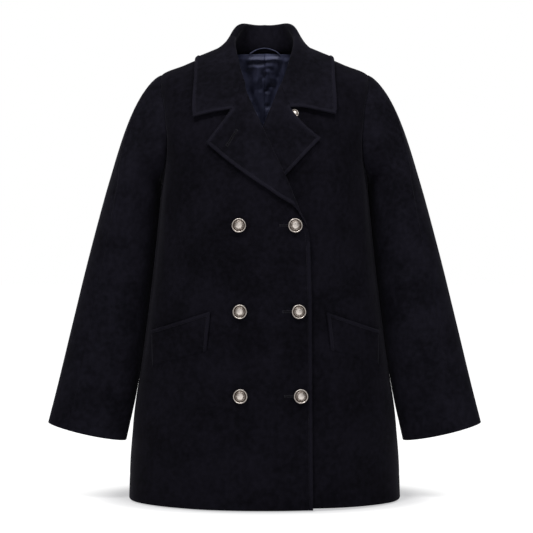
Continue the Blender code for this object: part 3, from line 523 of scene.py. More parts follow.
def armhole_loop(side, degrees):
    turn = np.radians(degrees)
    level = UNDERARM_LEVEL + ARMHOLE_RISE * (1 + np.cos(turn)) / 2
    behind, before = armhole_bulge(level, ARMHOLE_BACK), armhole_bulge(level, ARMHOLE_FRONT)
    away = np.where(np.sin(turn) < 0, behind, -before)
    return (away if side > 0 else 180 - away), level


def armhole_join(side, degrees):
    """Both edges of the seam, and the ways across it and out of it along the sleeve."""
    angle, level = armhole_loop(side, degrees)
    points, normals = body_at(angle, level)
    along = unit(body_point(*armhole_loop(side, degrees + 6)) - body_point(*armhole_loop(side, degrees - 6)))
    turn = np.radians(degrees)
    leave = unit(np.stack((side * (0.62 + 0.28 * np.cos(turn)), -0.12 * np.sin(turn),
                           -(0.68 - 0.26 * np.cos(turn))), -1))
    sleeve_normals = unit(np.cross(along, leave)) * side
    mitre = unit(normals + sleeve_normals)
    depth = CLOTH / np.maximum((mitre * normals).sum(-1), 0.62)
    across = unit(np.cross(mitre, along))
    across = across * np.sign((across * leave).sum(-1))[..., None]
    return points, points - mitre * depth[..., None], across, leave


armhole_round = body_point(*armhole_loop(1, np.linspace(0, 360, 181)))
print("armhole", round(float(run_length(armhole_round, 0)[-1]), 3), "m round")

# %% [markdown]
# ## Fronts and back
# Three panels make the body. Each row of a panel is one level; its points are spaced in real millimetres from
# the front edge and from the side seam, so that the stitched edge keeps one width from hem to break.

# %% Rows of the panels
FINE_ARMHOLE = (1 - np.cos(np.linspace(0, np.pi, 49))) / 2
PANEL_LEVELS = np.unique(np.concatenate((
    EDGE_MARKS / 0.081, np.linspace(0.2, BREAK_LEVEL, 76), np.linspace(BREAK_LEVEL, UNDERARM_LEVEL, 24),
    UNDERARM_LEVEL + ARMHOLE_RISE * FINE_ARMHOLE,
    np.linspace(SHOULDER_LEVEL, NECK_LEVEL - 0.12, 26), NECK_LEVEL - SEAM_MARKS[::-1] / 0.075)))
HEM_DEPTH = 0.040            # the hem is turned up this far and blind stitched
HEM_DIMPLE = 0.0004


def panel_grid(first, last, start, end, count):
    """Angles of a panel, a row for each level, and how far each point lies from both ends of its row."""
    angles, from_start = [], []
    for low, high, level in zip(first, last, PANEL_LEVELS):
        fine = np.linspace(low, high, 241)
        length = run_length(body_point(fine, np.full(241, level)), 0)
        places = spread(length[-1], start, end, count)
        angles.append(np.interp(places, length, fine))
        from_start.append(np.concatenate((places, [length[-1]])))
    from_start = np.array(from_start)
    return np.array(angles), from_start[:, :-1], from_start[:, -1:] - from_start[:, :-1]


def mitre_panel(side, top, bottom, from_seam, column, front):
    """Lead the inner face of a panel to the armhole's mitred seam."""
    height = np.clip((PANEL_LEVELS - UNDERARM_LEVEL) / ARMHOLE_RISE, 0, 1)
    degrees = np.degrees(np.arccos(2 * height - 1))
    outer_edge, inner_edge, _, _ = armhole_join(side, degrees if front else 360 - degrees)
    shift = inner_edge - outer_edge - (bottom[:, column] - top[:, column])
    inside = (PANEL_LEVELS > UNDERARM_LEVEL) & (PANEL_LEVELS < SHOULDER_LEVEL)
    fade = np.clip(1 - from_seam / MITRE_REACH, 0, 1)[..., None]
    return bottom + shift[:, None] * fade * inside[:, None, None]


def hem_dimple(height):
    """The faint line where the turned-up hem is caught from behind."""
    return -HEM_DIMPLE * np.exp(-((height - HEM_DEPTH) / 0.0022) ** 2)


def seam_angle(half_angle):
    return armhole_bulge(PANEL_LEVELS, half_angle) + SEWN_DEGREES * (armhole_bulge(PANEL_LEVELS, 1) == 0)


# %% Fronts
def sew_front(side, word):
    first = -seam_angle(ARMHOLE_FRONT) if side > 0 else 180 + seam_angle(ARMHOLE_FRONT)
    angle, from_seam, from_edge = panel_grid(first, edge_angle(side, PANEL_LEVELS), SEAM_MARKS, EDGE_MARKS, 78)
    level = np.repeat(PANEL_LEVELS[:, None], angle.shape[1], 1)
    if side > 0:
        level = level + HEM_RAISE * np.clip(1 - level, 0, 1) * np.clip(-angle / 90, 0, 1) ** 2
    points, normals = body_at(angle, level)
    height = run_length(points, 0)
    points = points + normals * (front_lift(side, points) + hem_dimple(height))[..., None]
    under_lapel = soft_step(BREAK_LEVEL - 0.4, BREAK_LEVEL + 0.1, level)
    stitched = from_edge + under_lapel
    if side < 0:
        points = points + normals * edge_curl(stitched)[..., None]
    from_neck = height[-1:] - height
    top, bottom = both_faces(points, normals, CLOTH, np.minimum(from_edge, height), stitched,
                             np.minimum(from_seam, from_neck))
    bottom = mitre_panel(side, top, bottom, from_seam, 0, True)
    piece = sew(f"front_{word}", top, bottom, ridge_highlight_mask(stitched))
    declare(piece, points, 0.40, 0.86)
    return top, normals


right_front_top, right_front_normals = sew_front(-1, "right")
sew_front(1, "left")


# %% Back
def sew_back():
    half = seam_angle(ARMHOLE_BACK)
    angle, from_start, from_end = panel_grid(half, 180 - half, SEAM_MARKS, SEAM_MARKS, 118)
    level = np.repeat(PANEL_LEVELS[:, None], angle.shape[1], 1)
    points, normals = body_at(angle, level)
    height = run_length(points, 0)
    points = points + normals * hem_dimple(height)[..., None]
    seam = np.minimum(np.minimum(from_start, from_end), height[-1:] - height)
    top, bottom = both_faces(points, normals, CLOTH, height, seam=seam)
    bottom = mitre_panel(1, top, bottom, from_start, 0, False)
    bottom = mitre_panel(-1, top, bottom, from_end, -1, False)
    piece = sew("back", top, bottom)
    declare(piece, points, 0.68, 0.86)


sew_back()

# %% [markdown]
# ## Sleeves
# A set-in sleeve is cut in two pieces that meet down the outer arm, a little to the front, and under the arm.
# Its cap starts at the armhole and turns down over the shoulder, which fills it with a soft ridge; below it the
# arm is a stack of rings seen from the front. The creases are placed in stations along the arm: 0 to 1 is the
# cap, and each further station is a ring.

# %% Rings and creases of the sleeves
SLEEVE_RINGS = (             # name, outer x and z, inner x and z, middle y, half depth
    ("biceps",  0.2732, -0.2149, 0.1868, -0.2420, 0.004, 0.0690),
    ("mid_arm", 0.2885, -0.2689, 0.1885, -0.2950, 0.000, 0.0680),
    ("elbow",   0.3166, -0.3769, 0.2000, -0.4020, -0.006, 0.0630),
    ("forearm", 0.3422, -0.4849, 0.2135, -0.5100, -0.014, 0.0570),
    ("wrist",   0.3674, -0.5929, 0.2290, -0.6150, -0.022, 0.0500),
    ("cuff",    0.3856, -0.6660, 0.2462, -0.6975, -0.027, 0.0420),
)
CUFF_SAG = 0.002
CUFF_DEPTH = 0.032           # the cuff is turned up this far, and caught like the hem
CUFF_DIMPLE = 0.00035
CAP_ROUNDNESS = 0.75
OVERARM_SEAM = ((0.0, 0.0), (0.5, 32.0), (1.0, 50.0), (2.0, 57.0), (6.0, 63.0))
SLEEVE_FOLDS = (             # degrees, half width in degrees, height, first station, last station
    (72, 20, 0.0030, 0.25, 2.6),
    (118, 18, -0.0020, 0.60, 3.0),
    (300, 24, 0.0025, 0.40, 3.4),
    (236, 20, -0.0020, 1.80, 4.6),
)
ARM_METRES_PER_DEGREE = 0.0011
ARM_METRES_PER_STATION = 0.105
SLEEVE_CREASES = (           # from degrees, from station, to degrees, to station, half width, height
    (26, 0.14, 50, 1.10, 0.011, 0.0026),
    (52, 0.12, 80, 1.20, 0.011, -0.0020),
    (86, 0.15, 98, 1.30, 0.010, 0.0014),
    (318, 0.10, 300, 1.05, 0.009, 0.0012),
    (296, 0.14, 272, 1.20, 0.010, -0.0011),
    (150, 2.70, 92, 3.05, 0.010, -0.0014),
    (160, 3.20, 98, 3.20, 0.009, 0.0013),
    (152, 3.75, 84, 3.40, 0.011, -0.0013),
    (140, 4.25, 96, 3.95, 0.012, 0.0009),
    (205, 2.80, 258, 3.15, 0.011, -0.0013),
    (202, 3.40, 262, 3.45, 0.010, 0.0012),
    (210, 4.00, 252, 3.80, 0.012, -0.0010),
    (120, 1.20, 112, 2.50, 0.014, 0.0010),
    (40, 4.60, 52, 5.90, 0.016, -0.0009),
    (104, 4.80, 110, 5.95, 0.014, 0.0008),
    (250, 4.70, 246, 5.95, 0.016, -0.0009),
    (330, 3.60, 336, 5.40, 0.018, 0.0008),
    (202, 0.30, 202, 5.20, 0.014, 0.0046),
)


def sleeve_fold(side, station, degrees):
    """How far folds and creases move a sleeve's surface."""
    height = crease_height(degrees, station, SLEEVE_CREASES, ARM_METRES_PER_DEGREE, ARM_METRES_PER_STATION)
    for at, half_width, most, start, end in SLEEVE_FOLDS:
        run = soft_step(start, start + 0.9, station) * (1 - soft_step(end - 1.1, end, station))
        height = height + most * np.exp(-(away_from(degrees, at) / half_width) ** 2) * run
    height = height * soft_step(0.0, 0.25, station)
    turn = np.radians(degrees)
    return height[..., None] * np.stack((side * np.cos(turn), -np.sin(turn), np.zeros(height.shape)), -1)


def sleeve_ring(side, ring, degrees):
    outer_x, outer_z, inner_x, inner_z, middle_y, half_depth = smooth_columns(SLEEVE_RINGS, ring)
    turn = np.radians(degrees)
    across = np.cos(turn)
    x = (outer_x + inner_x) / 2 + (outer_x - inner_x) / 2 * across
    z = (outer_z + inner_z) / 2 + (outer_z - inner_z) / 2 * across
    z = z - CUFF_SAG * soft_step(3.5, 5.0, ring) * np.sin(turn) ** 2
    return np.stack((side * x, middle_y - half_depth * np.sin(turn), z), -1)


def sleeve_point(side, station, degrees):
    edge, _, across, leave = armhole_join(side, degrees)
    start = edge + across * SEWN_GAP
    first_ring = sleeve_ring(side, np.zeros_like(station), degrees)
    arm = unit(sleeve_ring(side, np.full_like(station, 0.1), degrees) - first_ring)
    reach = np.linalg.norm(first_ring - start, axis=-1, keepdims=True)
    cap = hermite(np.clip(station, 0, 1)[..., None], start, leave * reach * CAP_ROUNDNESS, first_ring, arm * reach)
    smooth = np.where(station[..., None] < 1, cap, sleeve_ring(side, np.maximum(station - 1, 0), degrees))
    return smooth + sleeve_fold(side, station, degrees)


print("sleeve rings:", ", ".join(row[0] for row in SLEEVE_RINGS))


# %% Sleeves
def sew_sleeve_half(side, word, half):
    last = len(SLEEVE_RINGS)
    stations = np.unique(np.concatenate((SEAM_MARKS / 0.10, np.linspace(0.1, 1, 20), np.linspace(1, last, 74),
                                         last - EDGE_MARKS / 0.08)))
    seam = smooth_line(stations, *np.array(OVERARM_SEAM).T)
    seam_share = np.concatenate((SEAM_MARKS / 0.19, np.linspace(0.06, 0.94, 36), 1 - SEAM_MARKS[::-1] / 0.19))
    low, high = (seam, 180.0) if half == "front" else (180.0, seam + 360)
    degrees = (np.zeros_like(seam) + low)[:, None] + (high - low)[:, None] * seam_share
    station = np.repeat(stations[:, None], len(seam_share), 1)
    for column, inside in ((0, 1), (-1, -1)):
        degrees[:, column] += inside * 0.1
    outer = sleeve_point(side, station, degrees)
    down = (sleeve_point(side, np.minimum(station + 0.02, last), degrees)
            - sleeve_point(side, np.maximum(station - 0.02, 0), degrees))
    around = sleeve_point(side, station, degrees + 2) - sleeve_point(side, station, degrees - 2)
    normals = unit(np.cross(around, down)) * side
    along, across = run_length(outer, 0), run_length(outer, 1)
    from_cuff, from_cap = along[-1:] - along, along
    from_seam = np.minimum(across, across[:, -1:] - across)
    over_arm = across if half == "front" else across[:, -1:] - across
    raised = (0.0007 if half == "front" else -0.0006) * np.exp(-((over_arm - 0.0032) / 0.0024) ** 2)
    hemmed = -CUFF_DIMPLE * np.exp(-((from_cuff - CUFF_DEPTH) / 0.0020) ** 2)
    points = outer + normals * (raised + hemmed)[..., None]
    top, bottom = both_faces(points, normals, CLOTH, from_cuff, seam=np.minimum(from_seam, from_cap))
    _, inner_edge, join_across, _ = armhole_join(side, degrees[0])
    shift = inner_edge + join_across * SEWN_GAP - bottom[0]
    bottom = bottom + shift[None] * np.clip(1 - from_cap / MITRE_REACH, 0, 1)[..., None]
    piece = sew(f"sleeve_{word}_{half}", top, bottom)
    declare(piece, outer, 0.20 if half == "front" else 0.30, 0.68)


for sleeve_side, sleeve_word in ((-1, "right"), (1, "left")):
    for sleeve_half in ("front", "back"):
        sew_sleeve_half(sleeve_side, sleeve_word, sleeve_half)

# %% [markdown]
# ## Lapels
# A lapel is the top of a front turned back on itself at the roll line. It is built in the order in which the
# cloth runs: round the fold first, then flat over the chest to its outline, which is drawn from the front. The
# outline has two stretches that meet in the tip: up from the break, and back from the tip to the notch.

# %% Outlines of the lapels
RIGHT_LAPEL_LOWER = ((0.0660, -0.3150), (0.0600, -0.2990), (0.0535, -0.2900), (0.0416, -0.2818),
                     (0.0297, -0.2750), (0.0059, -0.2585), (-0.0240, -0.2384), (-0.0542, -0.2160),
                     (-0.0990, -0.1776))
RIGHT_LAPEL_UPPER = ((-0.0990, -0.1776), (-0.0773, -0.1490), (-0.0556, -0.1212))
LEFT_LAPEL_LOWER = ((-0.0545, -0.3120), (-0.0100, -0.2800), (0.0428, -0.2265), (0.0700, -0.1970),
                    (0.0952, -0.1700))
LEFT_LAPEL_UPPER = ((0.0952, -0.1700), (0.0863, -0.1629), (0.0778, -0.1555), (0.0692, -0.1480),
                    (0.0607, -0.1390), (0.0520, -0.1290), (0.0440, -0.1180))
ROLL_RADIUS = 0.0024
LAPEL_LIFT = 0.0036
LAPEL_TIP_LIFT = 0.0028
LAPEL_OPENING = 0.16         # the share of the roll line over which it grows out of the front
TIP_SHARE = 0.66             # the tip faces this share of the roll line
FOLD_TURNS = np.linspace(-90, 90, 15)


def along_line(line, share):
    """The point at each share of the length of a smooth line through a few marks."""
    line = np.array(line)
    marks = run_length(line, 0)
    fine = np.linspace(0, marks[-1], 200)
    drawn = np.stack([smooth_line(fine, marks, column) for column in line.T], -1)
    length = run_length(drawn, 0)
    return np.stack([np.interp(share * length[-1], length, column) for column in drawn.T], -1)


def roll_line(side, levels):
    """Points on a front's roll line, the way out of the cloth and the way out past the edge."""
    angle = edge_angle(side, levels)
    points, normals = body_at(angle, levels)
    along = unit(np.gradient(points, axis=0))
    return points, normals, unit(np.cross(along, normals)) * -side


def turned_edge(side, points, normals, past, turns, taper):
    """The fold at the roll line: a column for each turn, from -90 to 90 degrees."""
    base = front_lift(side, points)[:, None, None]
    turns = np.radians(turns)[None, :, None]
    radius = ROLL_RADIUS * taper[:, None, None]
    facing = past[:, None] * np.cos(turns) + normals[:, None] * np.sin(turns)
    middle = (LAPEL_LIFT - ROLL_RADIUS) * taper[:, None, None]
    return points[:, None] + normals[:, None] * (base + middle) + past[:, None] * SEAM_GAP + facing * radius, facing


def from_line(flat, line):
    """Distance of flat points to a polyline, in metres."""
    nearest = np.full(flat.shape[:-1], FAR)
    for start, end in zip(line[:-1], line[1:]):
        step = end - start
        share = np.clip(((flat - start) @ step) / (step @ step), 0, 1)
        nearest = np.minimum(nearest, np.linalg.norm(flat - start - share[..., None] * step, axis=-1))
    return nearest


# %% Lapels
stitch_lines = []            # each: points, ways out of the cloth


def sew_lapel(side, word):
    lower = RIGHT_LAPEL_LOWER if side < 0 else LEFT_LAPEL_LOWER
    upper = RIGHT_LAPEL_UPPER if side < 0 else LEFT_LAPEL_UPPER
    fine_levels = np.linspace(BREAK_LEVEL, NECK_LEVEL, 700)
    fine = run_length(roll_line(side, fine_levels)[0], 0)
    shares = np.unique(np.concatenate((np.linspace(0, 1, 90), TIP_SHARE + np.linspace(-0.03, 0.03, 21))))
    levels = np.interp(shares * fine[-1], fine, fine_levels)
    points, normals, past = roll_line(side, levels)
    below = (shares <= TIP_SHARE + 1e-9)[:, None]
    outline = np.where(below, along_line(lower, np.clip(shares / TIP_SHARE, 0, 1)),
                       along_line(upper, np.clip((shares - TIP_SHARE) / (1 - TIP_SHARE), 0, 1)))
    opened = soft_step(0.0, LAPEL_OPENING, shares)
    taper = 0.42 + 0.58 * opened
    folded, facing = turned_edge(side, points, normals, past, FOLD_TURNS, taper)
    reach = np.linalg.norm(outline - points[:, ::2], axis=-1)
    across = np.array([spread(length, np.array((0.0, 0.0015)), EDGE_MARKS, 24)[1:] / length for length in reach])
    flat = points[:, None, ::2] + (outline - points[:, ::2])[:, None] * across[..., None]
    lift = (LAPEL_LIFT + (LAPEL_TIP_LIFT - LAPEL_LIFT) * across) * taper[:, None]
    laid, laid_normals = on_front(side, flat, lift)
    middle = np.concatenate((folded, laid), 1)
    out = np.concatenate((facing, laid_normals), 1)
    free = np.full(middle.shape[:2], FAR)
    free[:, len(FOLD_TURNS):] = from_line(flat, outline)
    curl = edge_curl(free) * soft_step(0.06, 0.30, shares)[:, None]
    if side > 0:
        curl = curl * soft_step(0.004, 0.016, middle[..., 0] - edge_place(-1, middle[..., 2]))
    middle = middle + out * curl[..., None]
    thickness = (FACING * (0.5 + 0.5 * opened))[:, None] + np.zeros_like(free)
    top, bottom = both_faces(middle + out * thickness[..., None] / 2, out, thickness, free, free)
    piece = sew(f"lapel_{word}", top, bottom, ridge_highlight_mask(free))
    declare(piece, middle, 0.13, 0.30)
    stitch_lines.append((top[2:-3, -1 - STITCH_MARK], out[2:-3, -1 - STITCH_MARK]))


sew_lapel(-1, "right")
sew_lapel(1, "left")

# %% [markdown]
# ## Collar
# The collar is sewn to the neck, stands up, rolls over and falls on the shoulders. Its sections run round the
# neck from the right front to the left: up the stand, over the roll, and down to the outer edge. At both ends it
# joins its lapel along the gorge seam as far as the notch, and from there its front edge is free.

# %% Measures of the collar
COLLAR_ROLL = (              # way round, along the stand, off the stand
    (0.00, 0.0445, 0.0270),
    (0.10, 0.0420, 0.0340),
    (0.20, 0.0385, 0.0395),
    (0.30, 0.0380, 0.0350),
    (0.38, 0.0340, 0.0250),
    (0.46, 0.0275, 0.0120),
    (0.56, 0.0225, 0.0060),
    (0.68, 0.0185, 0.0038),
    (0.80, 0.0140, 0.0030),
    (0.91, 0.0080, 0.0018),
    (1.00, 0.0028, 0.0009),
)
COLLAR_EDGE = (              # way round, x, y, z
    (0.00, 0.0000, 0.1000, -0.0320),
    (0.20, 0.0500, 0.0960, -0.0320),
    (0.36, 0.0900, 0.0800, -0.0300),
    (0.48, 0.1140, 0.0450, -0.0230),
    (0.58, 0.1185, 0.0000, -0.0170),
    (0.72, 0.1180, -0.0500, -0.0480),
    (0.86, 0.1205, -0.0850, -0.0880),
    (1.00, 0.1236, -0.1020, -0.1270),
)
RIGHT_COLLAR_FRONT = ((-0.0556, -0.1212), (-0.0864, -0.1262), (-0.1205, -0.1335))
LEFT_COLLAR_FRONT = ((0.0440, -0.1180), (0.0675, -0.1185), (0.0880, -0.1229), (0.1205, -0.1285))
STAND_HANDLES = (0.35, 0.3)  # how far the curves of a section keep their first and last direction
FALL_HANDLES = (0.22, 0.12, 0.33)
FALL_PUFF = 0.004
COLLAR_LIFT = 0.0032         # the least height of the fall over the coat
COLLAR_CURL = 1.25           # its front edges stand off more than the other edges
BACK_FOLD = 0.0026           # the roll is this much rounder behind the neck
END_REACH = 6                # how steeply the sections turn into the drawn front ends
NOTCH_SHARE = 3 / 7          # of the fall, from the roll to the edge, at the collar's front end
STAND_SHARES = np.linspace(0, 1, 14)
TURN_SHARES = np.linspace(0, 1, 12)
FALL_SHARES = np.concatenate((np.linspace(0, NOTCH_SHARE, 13)[1:], np.linspace(NOTCH_SHARE, 0.90, 20)[1:-1],
                              1 - EDGE_MARKS[::-1] / 0.115))


def bezier(a, b, c, d, share):
    share = share[:, None]
    return ((1 - share) ** 3 * a + 3 * (1 - share) ** 2 * share * b
            + 3 * (1 - share) * share ** 2 * c + share ** 3 * d)


def collar_section(start, up, roll, edge, round_neck, way):
    """One section of the collar: up the stand, over the roll and down the fall to its edge."""
    fold = ROLL_RADIUS + BACK_FOLD * soft_step(0, 0.6, 1 - way)
    rise = roll - start
    rise = unit(rise - round_neck * (rise @ round_neck))
    away = np.cross(round_neck, rise)
    away *= np.sign(away @ (edge - start))
    centre = roll - rise * fold
    reach = np.linalg.norm(centre - start)
    stand = bezier(start, start + up * reach * STAND_HANDLES[0],
                   centre - away * fold - rise * reach * STAND_HANDLES[1], centre - away * fold, STAND_SHARES)
    turns = np.radians(-90 + 180 * TURN_SHARES[1:])[:, None]
    turned = centre + fold * (rise * np.cos(turns) + away * np.sin(turns))
    drop = edge - turned[-1]
    length = np.linalg.norm(drop)
    down, out, back = FALL_HANDLES
    fall = bezier(turned[-1], turned[-1] - rise * length * down + drop * out,
                  edge - drop * back + away * FALL_PUFF, edge, FALL_SHARES)
    return np.concatenate((stand, turned, fall))


def collar_end(side):
    """The collar's front end: round the roll, down the gorge seam to the notch, and out to its corner."""
    levels = np.linspace(NECK_LEVEL - 0.5, NECK_LEVEL, 3)
    points, out, past = roll_line(side, levels)
    turns = np.concatenate((-90 + 30 * STAND_SHARES, -60 + 150 * TURN_SHARES[1:]))
    folded, facing = turned_edge(side, points, out, past, turns, np.ones(3))
    along = unit(points[-1] - points[-2])
    corner_line = RIGHT_COLLAR_FRONT if side < 0 else LEFT_COLLAR_FRONT
    start, notch = points[-1, ::2], np.array(corner_line[0])
    gorge = FALL_SHARES <= NOTCH_SHARE + 1e-9
    down = start + (notch - start) * (FALL_SHARES[gorge] / NOTCH_SHARE)[:, None]
    front = along_line(corner_line, (FALL_SHARES[~gorge] - NOTCH_SHARE) / (1 - NOTCH_SHARE))
    flat = np.concatenate((down, front))
    laid, laid_normals = on_front(side, flat, np.full(len(flat), LAPEL_LIFT))
    return (np.concatenate((folded[-1], laid)) + along * SEAM_GAP * 2,
            np.concatenate((facing[-1], laid_normals)))


print("collar stands", COLLAR_ROLL[0][1], "m high behind the neck")


# %% Collar
def measures_at(table, way):
    """All measures of a table at places on the way round the neck."""
    place = np.interp(way, [row[0] for row in table], np.arange(len(table)))
    return np.stack(smooth_columns(table, place), -1)


def collar_middle():
    """Middle points of the collar and the angle of each section round the neck."""
    ends = edge_angle(-1, np.array([NECK_LEVEL]))[0], edge_angle(1, np.array([NECK_LEVEL]))[0]
    near_end = np.array((0, 0.002, 0.005, 0.010, 0.018, 0.030, 0.045, 0.06))
    right = np.concatenate((near_end, np.linspace(0.08, 1, 52)))
    angle = np.concatenate((ends[0] + (180 - ends[0]) * right, np.linspace(180, 0, 92)[1:-1],
                            ends[1] * (1 - right[::-1])))
    neck = np.full(len(angle), float(NECK_LEVEL))
    seam, out = body_at(angle, neck)
    up = unit(seam - body_point(angle, neck - 0.03))
    length = run_length(seam, 0)
    centre = np.interp(90, angle[::-1], length[::-1])
    way = np.where(length < centre, (length - centre) / centre, (length - centre) / (length[-1] - centre))
    side = np.where(way < 0, -1, 1)
    along, off = measures_at(COLLAR_ROLL, np.abs(way)).T[..., None]
    edge = measures_at(COLLAR_EDGE, np.abs(way)) * np.stack((side, np.ones_like(way), np.ones_like(way)), -1)
    roll = seam + up * along + out * off
    round_neck = unit(np.gradient(seam, axis=0))
    start = seam - out * CLOTH / 2 + up * SEAM_GAP * 1.5
    middle = np.array([collar_section(*row) for row in zip(start, up, roll, edge, round_neck, np.abs(way))])
    drawn = {-1: collar_end(-1), 1: collar_end(1)}
    change = {-1: drawn[-1][0] - middle[0], 1: drawn[1][0] - middle[-1]}
    for index, (share, at) in enumerate(zip(np.abs(way), side)):
        middle[index] += share ** END_REACH * change[at]
    return middle, out, drawn


def settle_fall(middle, first):
    """Lift the collar's fall off whatever it would otherwise sink into."""
    fall = middle[:, first:].reshape(-1, 3)
    on_angle, on_level = find_on_body(fall)
    near, near_normal = body_at(on_angle, on_level)
    height = ((fall - near) * near_normal).sum(-1)
    least = COLLAR_LIFT + np.where((near[:, 0] < 0) & (near[:, 1] < 0), front_lift(-1, near), 0)
    low = (height < least) & (on_level < NECK_LEVEL - 0.01)
    fall = np.where(low[:, None], near + near_normal * least[:, None], fall)
    middle[:, first:] = fall.reshape(len(middle), -1, 3)
    return middle


def sew_collar():
    middle, out, drawn = collar_middle()
    first_of_fall = len(STAND_SHARES) + len(TURN_SHARES) - 2
    middle = settle_fall(middle, first_of_fall)
    middle[0], middle[-1] = drawn[-1][0], drawn[1][0]
    normals = unit(np.cross(np.gradient(middle, axis=0), np.gradient(middle, axis=1)))
    normals[:, 0] = -out
    normals[0], normals[-1] = drawn[-1][1], drawn[1][1]
    notch = first_of_fall + 12
    free, gorge = np.full(middle.shape[:2], FAR), np.full(middle.shape[:2], FAR)
    outline = np.concatenate((middle[0, notch:], middle[1:-1, -1], middle[-1, notch:][::-1]))
    free[:, first_of_fall + 1:] = from_line(middle[:, first_of_fall + 1:], outline)
    for row, near_rows in ((0, slice(0, 20)), (-1, slice(-20, None))):
        gorge[near_rows, :notch] = from_line(middle[near_rows, :notch], middle[row, :notch])
    in_front = soft_step(0.0, 0.05, -middle[..., 1])
    middle = middle + normals * (COLLAR_CURL * edge_curl(free) * in_front)[..., None]
    top, bottom = both_faces(middle + normals * FACING / 2, normals, FACING, free, free, gorge)
    piece = sew("collar", top, bottom, ridge_highlight_mask(free))
    declare(piece, middle, 0.56, 0.20)
    stitch_lines.append((top[4:-4, -1 - STITCH_MARK], normals[4:-4, -1 - STITCH_MARK]))


sew_collar()

# %% [markdown]
# ## Pocket welts
# A welt is a folded strip, sewn down at its lower edge and at its outer end. Its upper edge and its short inner
# edge are free and topstitched, so they stand proud and throw a thin shadow. It is drawn as a leaning four-sided
# shape from the front and seated on the coat, a little thicker towards its free edge.

# %% Pocket welts
# The corners in turn: inner top, inner bottom, outer top, outer bottom.
RIGHT_POCKET = ((-0.0902, -0.4650), (-0.0973, -0.5327), (-0.1985, -0.5010), (-0.1960, -0.5630))
LEFT_POCKET = ((0.1043, -0.4665), (0.1123, -0.5306), (0.2010, -0.5015), (0.1990, -0.5590))
WELT = 0.0030
WELT_GAP = 0.0008
WELT_SEWN = 0.0004           # its height where it is sewn down


def sew_welt(side, word):
    inner_top, inner_bottom, outer_top, outer_bottom = np.array(RIGHT_POCKET if side < 0 else LEFT_POCKET)
    length = np.linalg.norm(outer_top - inner_top)
    height = np.linalg.norm(inner_top - inner_bottom)
    u = (spread(length, EDGE_MARKS, SEAM_MARKS, 34) / length)[None, :, None]
    v = (spread(height, SEAM_MARKS, EDGE_MARKS, 16) / height)[:, None, None]
    lower, upper = inner_bottom + (outer_bottom - inner_bottom) * u, inner_top + (outer_top - inner_top) * u
    flat = lower + (upper - lower) * v
    free = from_line(flat, (inner_bottom, inner_top, outer_top))
    sewn = from_line(flat, (inner_bottom, outer_bottom, outer_top))
    full = WELT_GAP + WELT * (0.45 + 0.55 * v[..., 0]) + 0 * u[..., 0]
    lift = WELT_SEWN + (full - WELT_SEWN) * soft_step(-0.0008, 0.0045, sewn)
    points, normals = on_front(side, flat, lift)
    points = points + normals * (0.5 * edge_curl(free) * soft_step(0.0, 0.02, sewn))[..., None]
    top, bottom = both_faces(points, normals, lift - 0.0001, free, free, sewn)
    piece = sew(f"pocket_welt_{word}", top, bottom, ridge_highlight_mask(free))
    declare(piece, points, 0.115, 0.075)
    row = -1 - STITCH_MARK
    stitch_lines.append([np.concatenate((grid[3:row, STITCH_MARK], grid[row, STITCH_MARK:-3]))
                         for grid in (top, normals)])


sew_welt(-1, "right")
sew_welt(1, "left")

# %% [markdown]
# ## Back lining
# Satin is thin and cut a little too wide on purpose, so that it never pulls on the wool. It hangs off the neck
# seam with a few wrinkles, each drawn here from the front as a line with a width and a height towards the wearer.
# The two halves meet in a seam down the centre back.

# %% Back lining
LINING_GAP = 0.0011
SATIN = 0.0006
LINING_LOOSE = 0.0035        # how far the middle of the lining hangs off the wool
LINING_LEVEL = 7.23          # its lower edge
LINING_EDGE = 0.075          # degrees that it keeps from the armhole
LINING_CREASES = (           # from x, from z, to x, to z, half width, height
    (-0.030, -0.0030, 0.026, -0.0016, 0.0034, 0.0038),
    (-0.026, -0.0120, -0.004, -0.0110, 0.0030, -0.0016),
    (-0.028, -0.0160, 0.012, -0.0150, 0.0048, 0.0024),
    (-0.012, -0.0240, -0.024, -0.0780, 0.0060, 0.0024),
    (-0.003, -0.0300, -0.009, -0.0560, 0.0036, -0.0032),
    (0.006, -0.0240, 0.019, -0.0420, 0.0052, 0.0026),
    (0.012, -0.0480, 0.004, -0.0600, 0.0036, -0.0030),
    (0.042, -0.0060, 0.017, -0.1050, 0.0055, 0.0034),
    (0.031, -0.0120, 0.009, -0.0880, 0.0040, -0.0026),
    (0.0034, -0.0865, 0.0036, -0.0890, 0.0030, -0.0032),
    (-0.033, -0.0260, -0.015, -0.1000, 0.0050, -0.0026),
    (-0.046, -0.0300, -0.026, -0.1250, 0.0070, 0.0026),
    (-0.088, -0.0500, -0.044, -0.1700, 0.0090, 0.0022),
    (0.094, -0.0520, 0.047, -0.1800, 0.0090, 0.0024),
    (-0.128, -0.1400, -0.070, -0.2150, 0.0100, -0.0022),
    (0.124, -0.1350, 0.076, -0.2200, 0.0100, -0.0024),
    (-0.020, -0.1300, 0.016, -0.2100, 0.0080, 0.0018),
)


def flat_creases(x, z, creases):
    """Listed creases that are drawn from the front, in metres."""
    total = np.zeros(x.shape)
    for from_x, from_z, to_x, to_z, half_width, height in creases:
        share, aside, past = along_crease(x - from_x, z - from_z, to_x - from_x, to_z - from_z)
        bend = 0.25 * half_width * np.sin(9 * share)
        total = total + height * np.exp(-((aside + bend) / half_width) ** 2 - (past / half_width) ** 2)
    return total


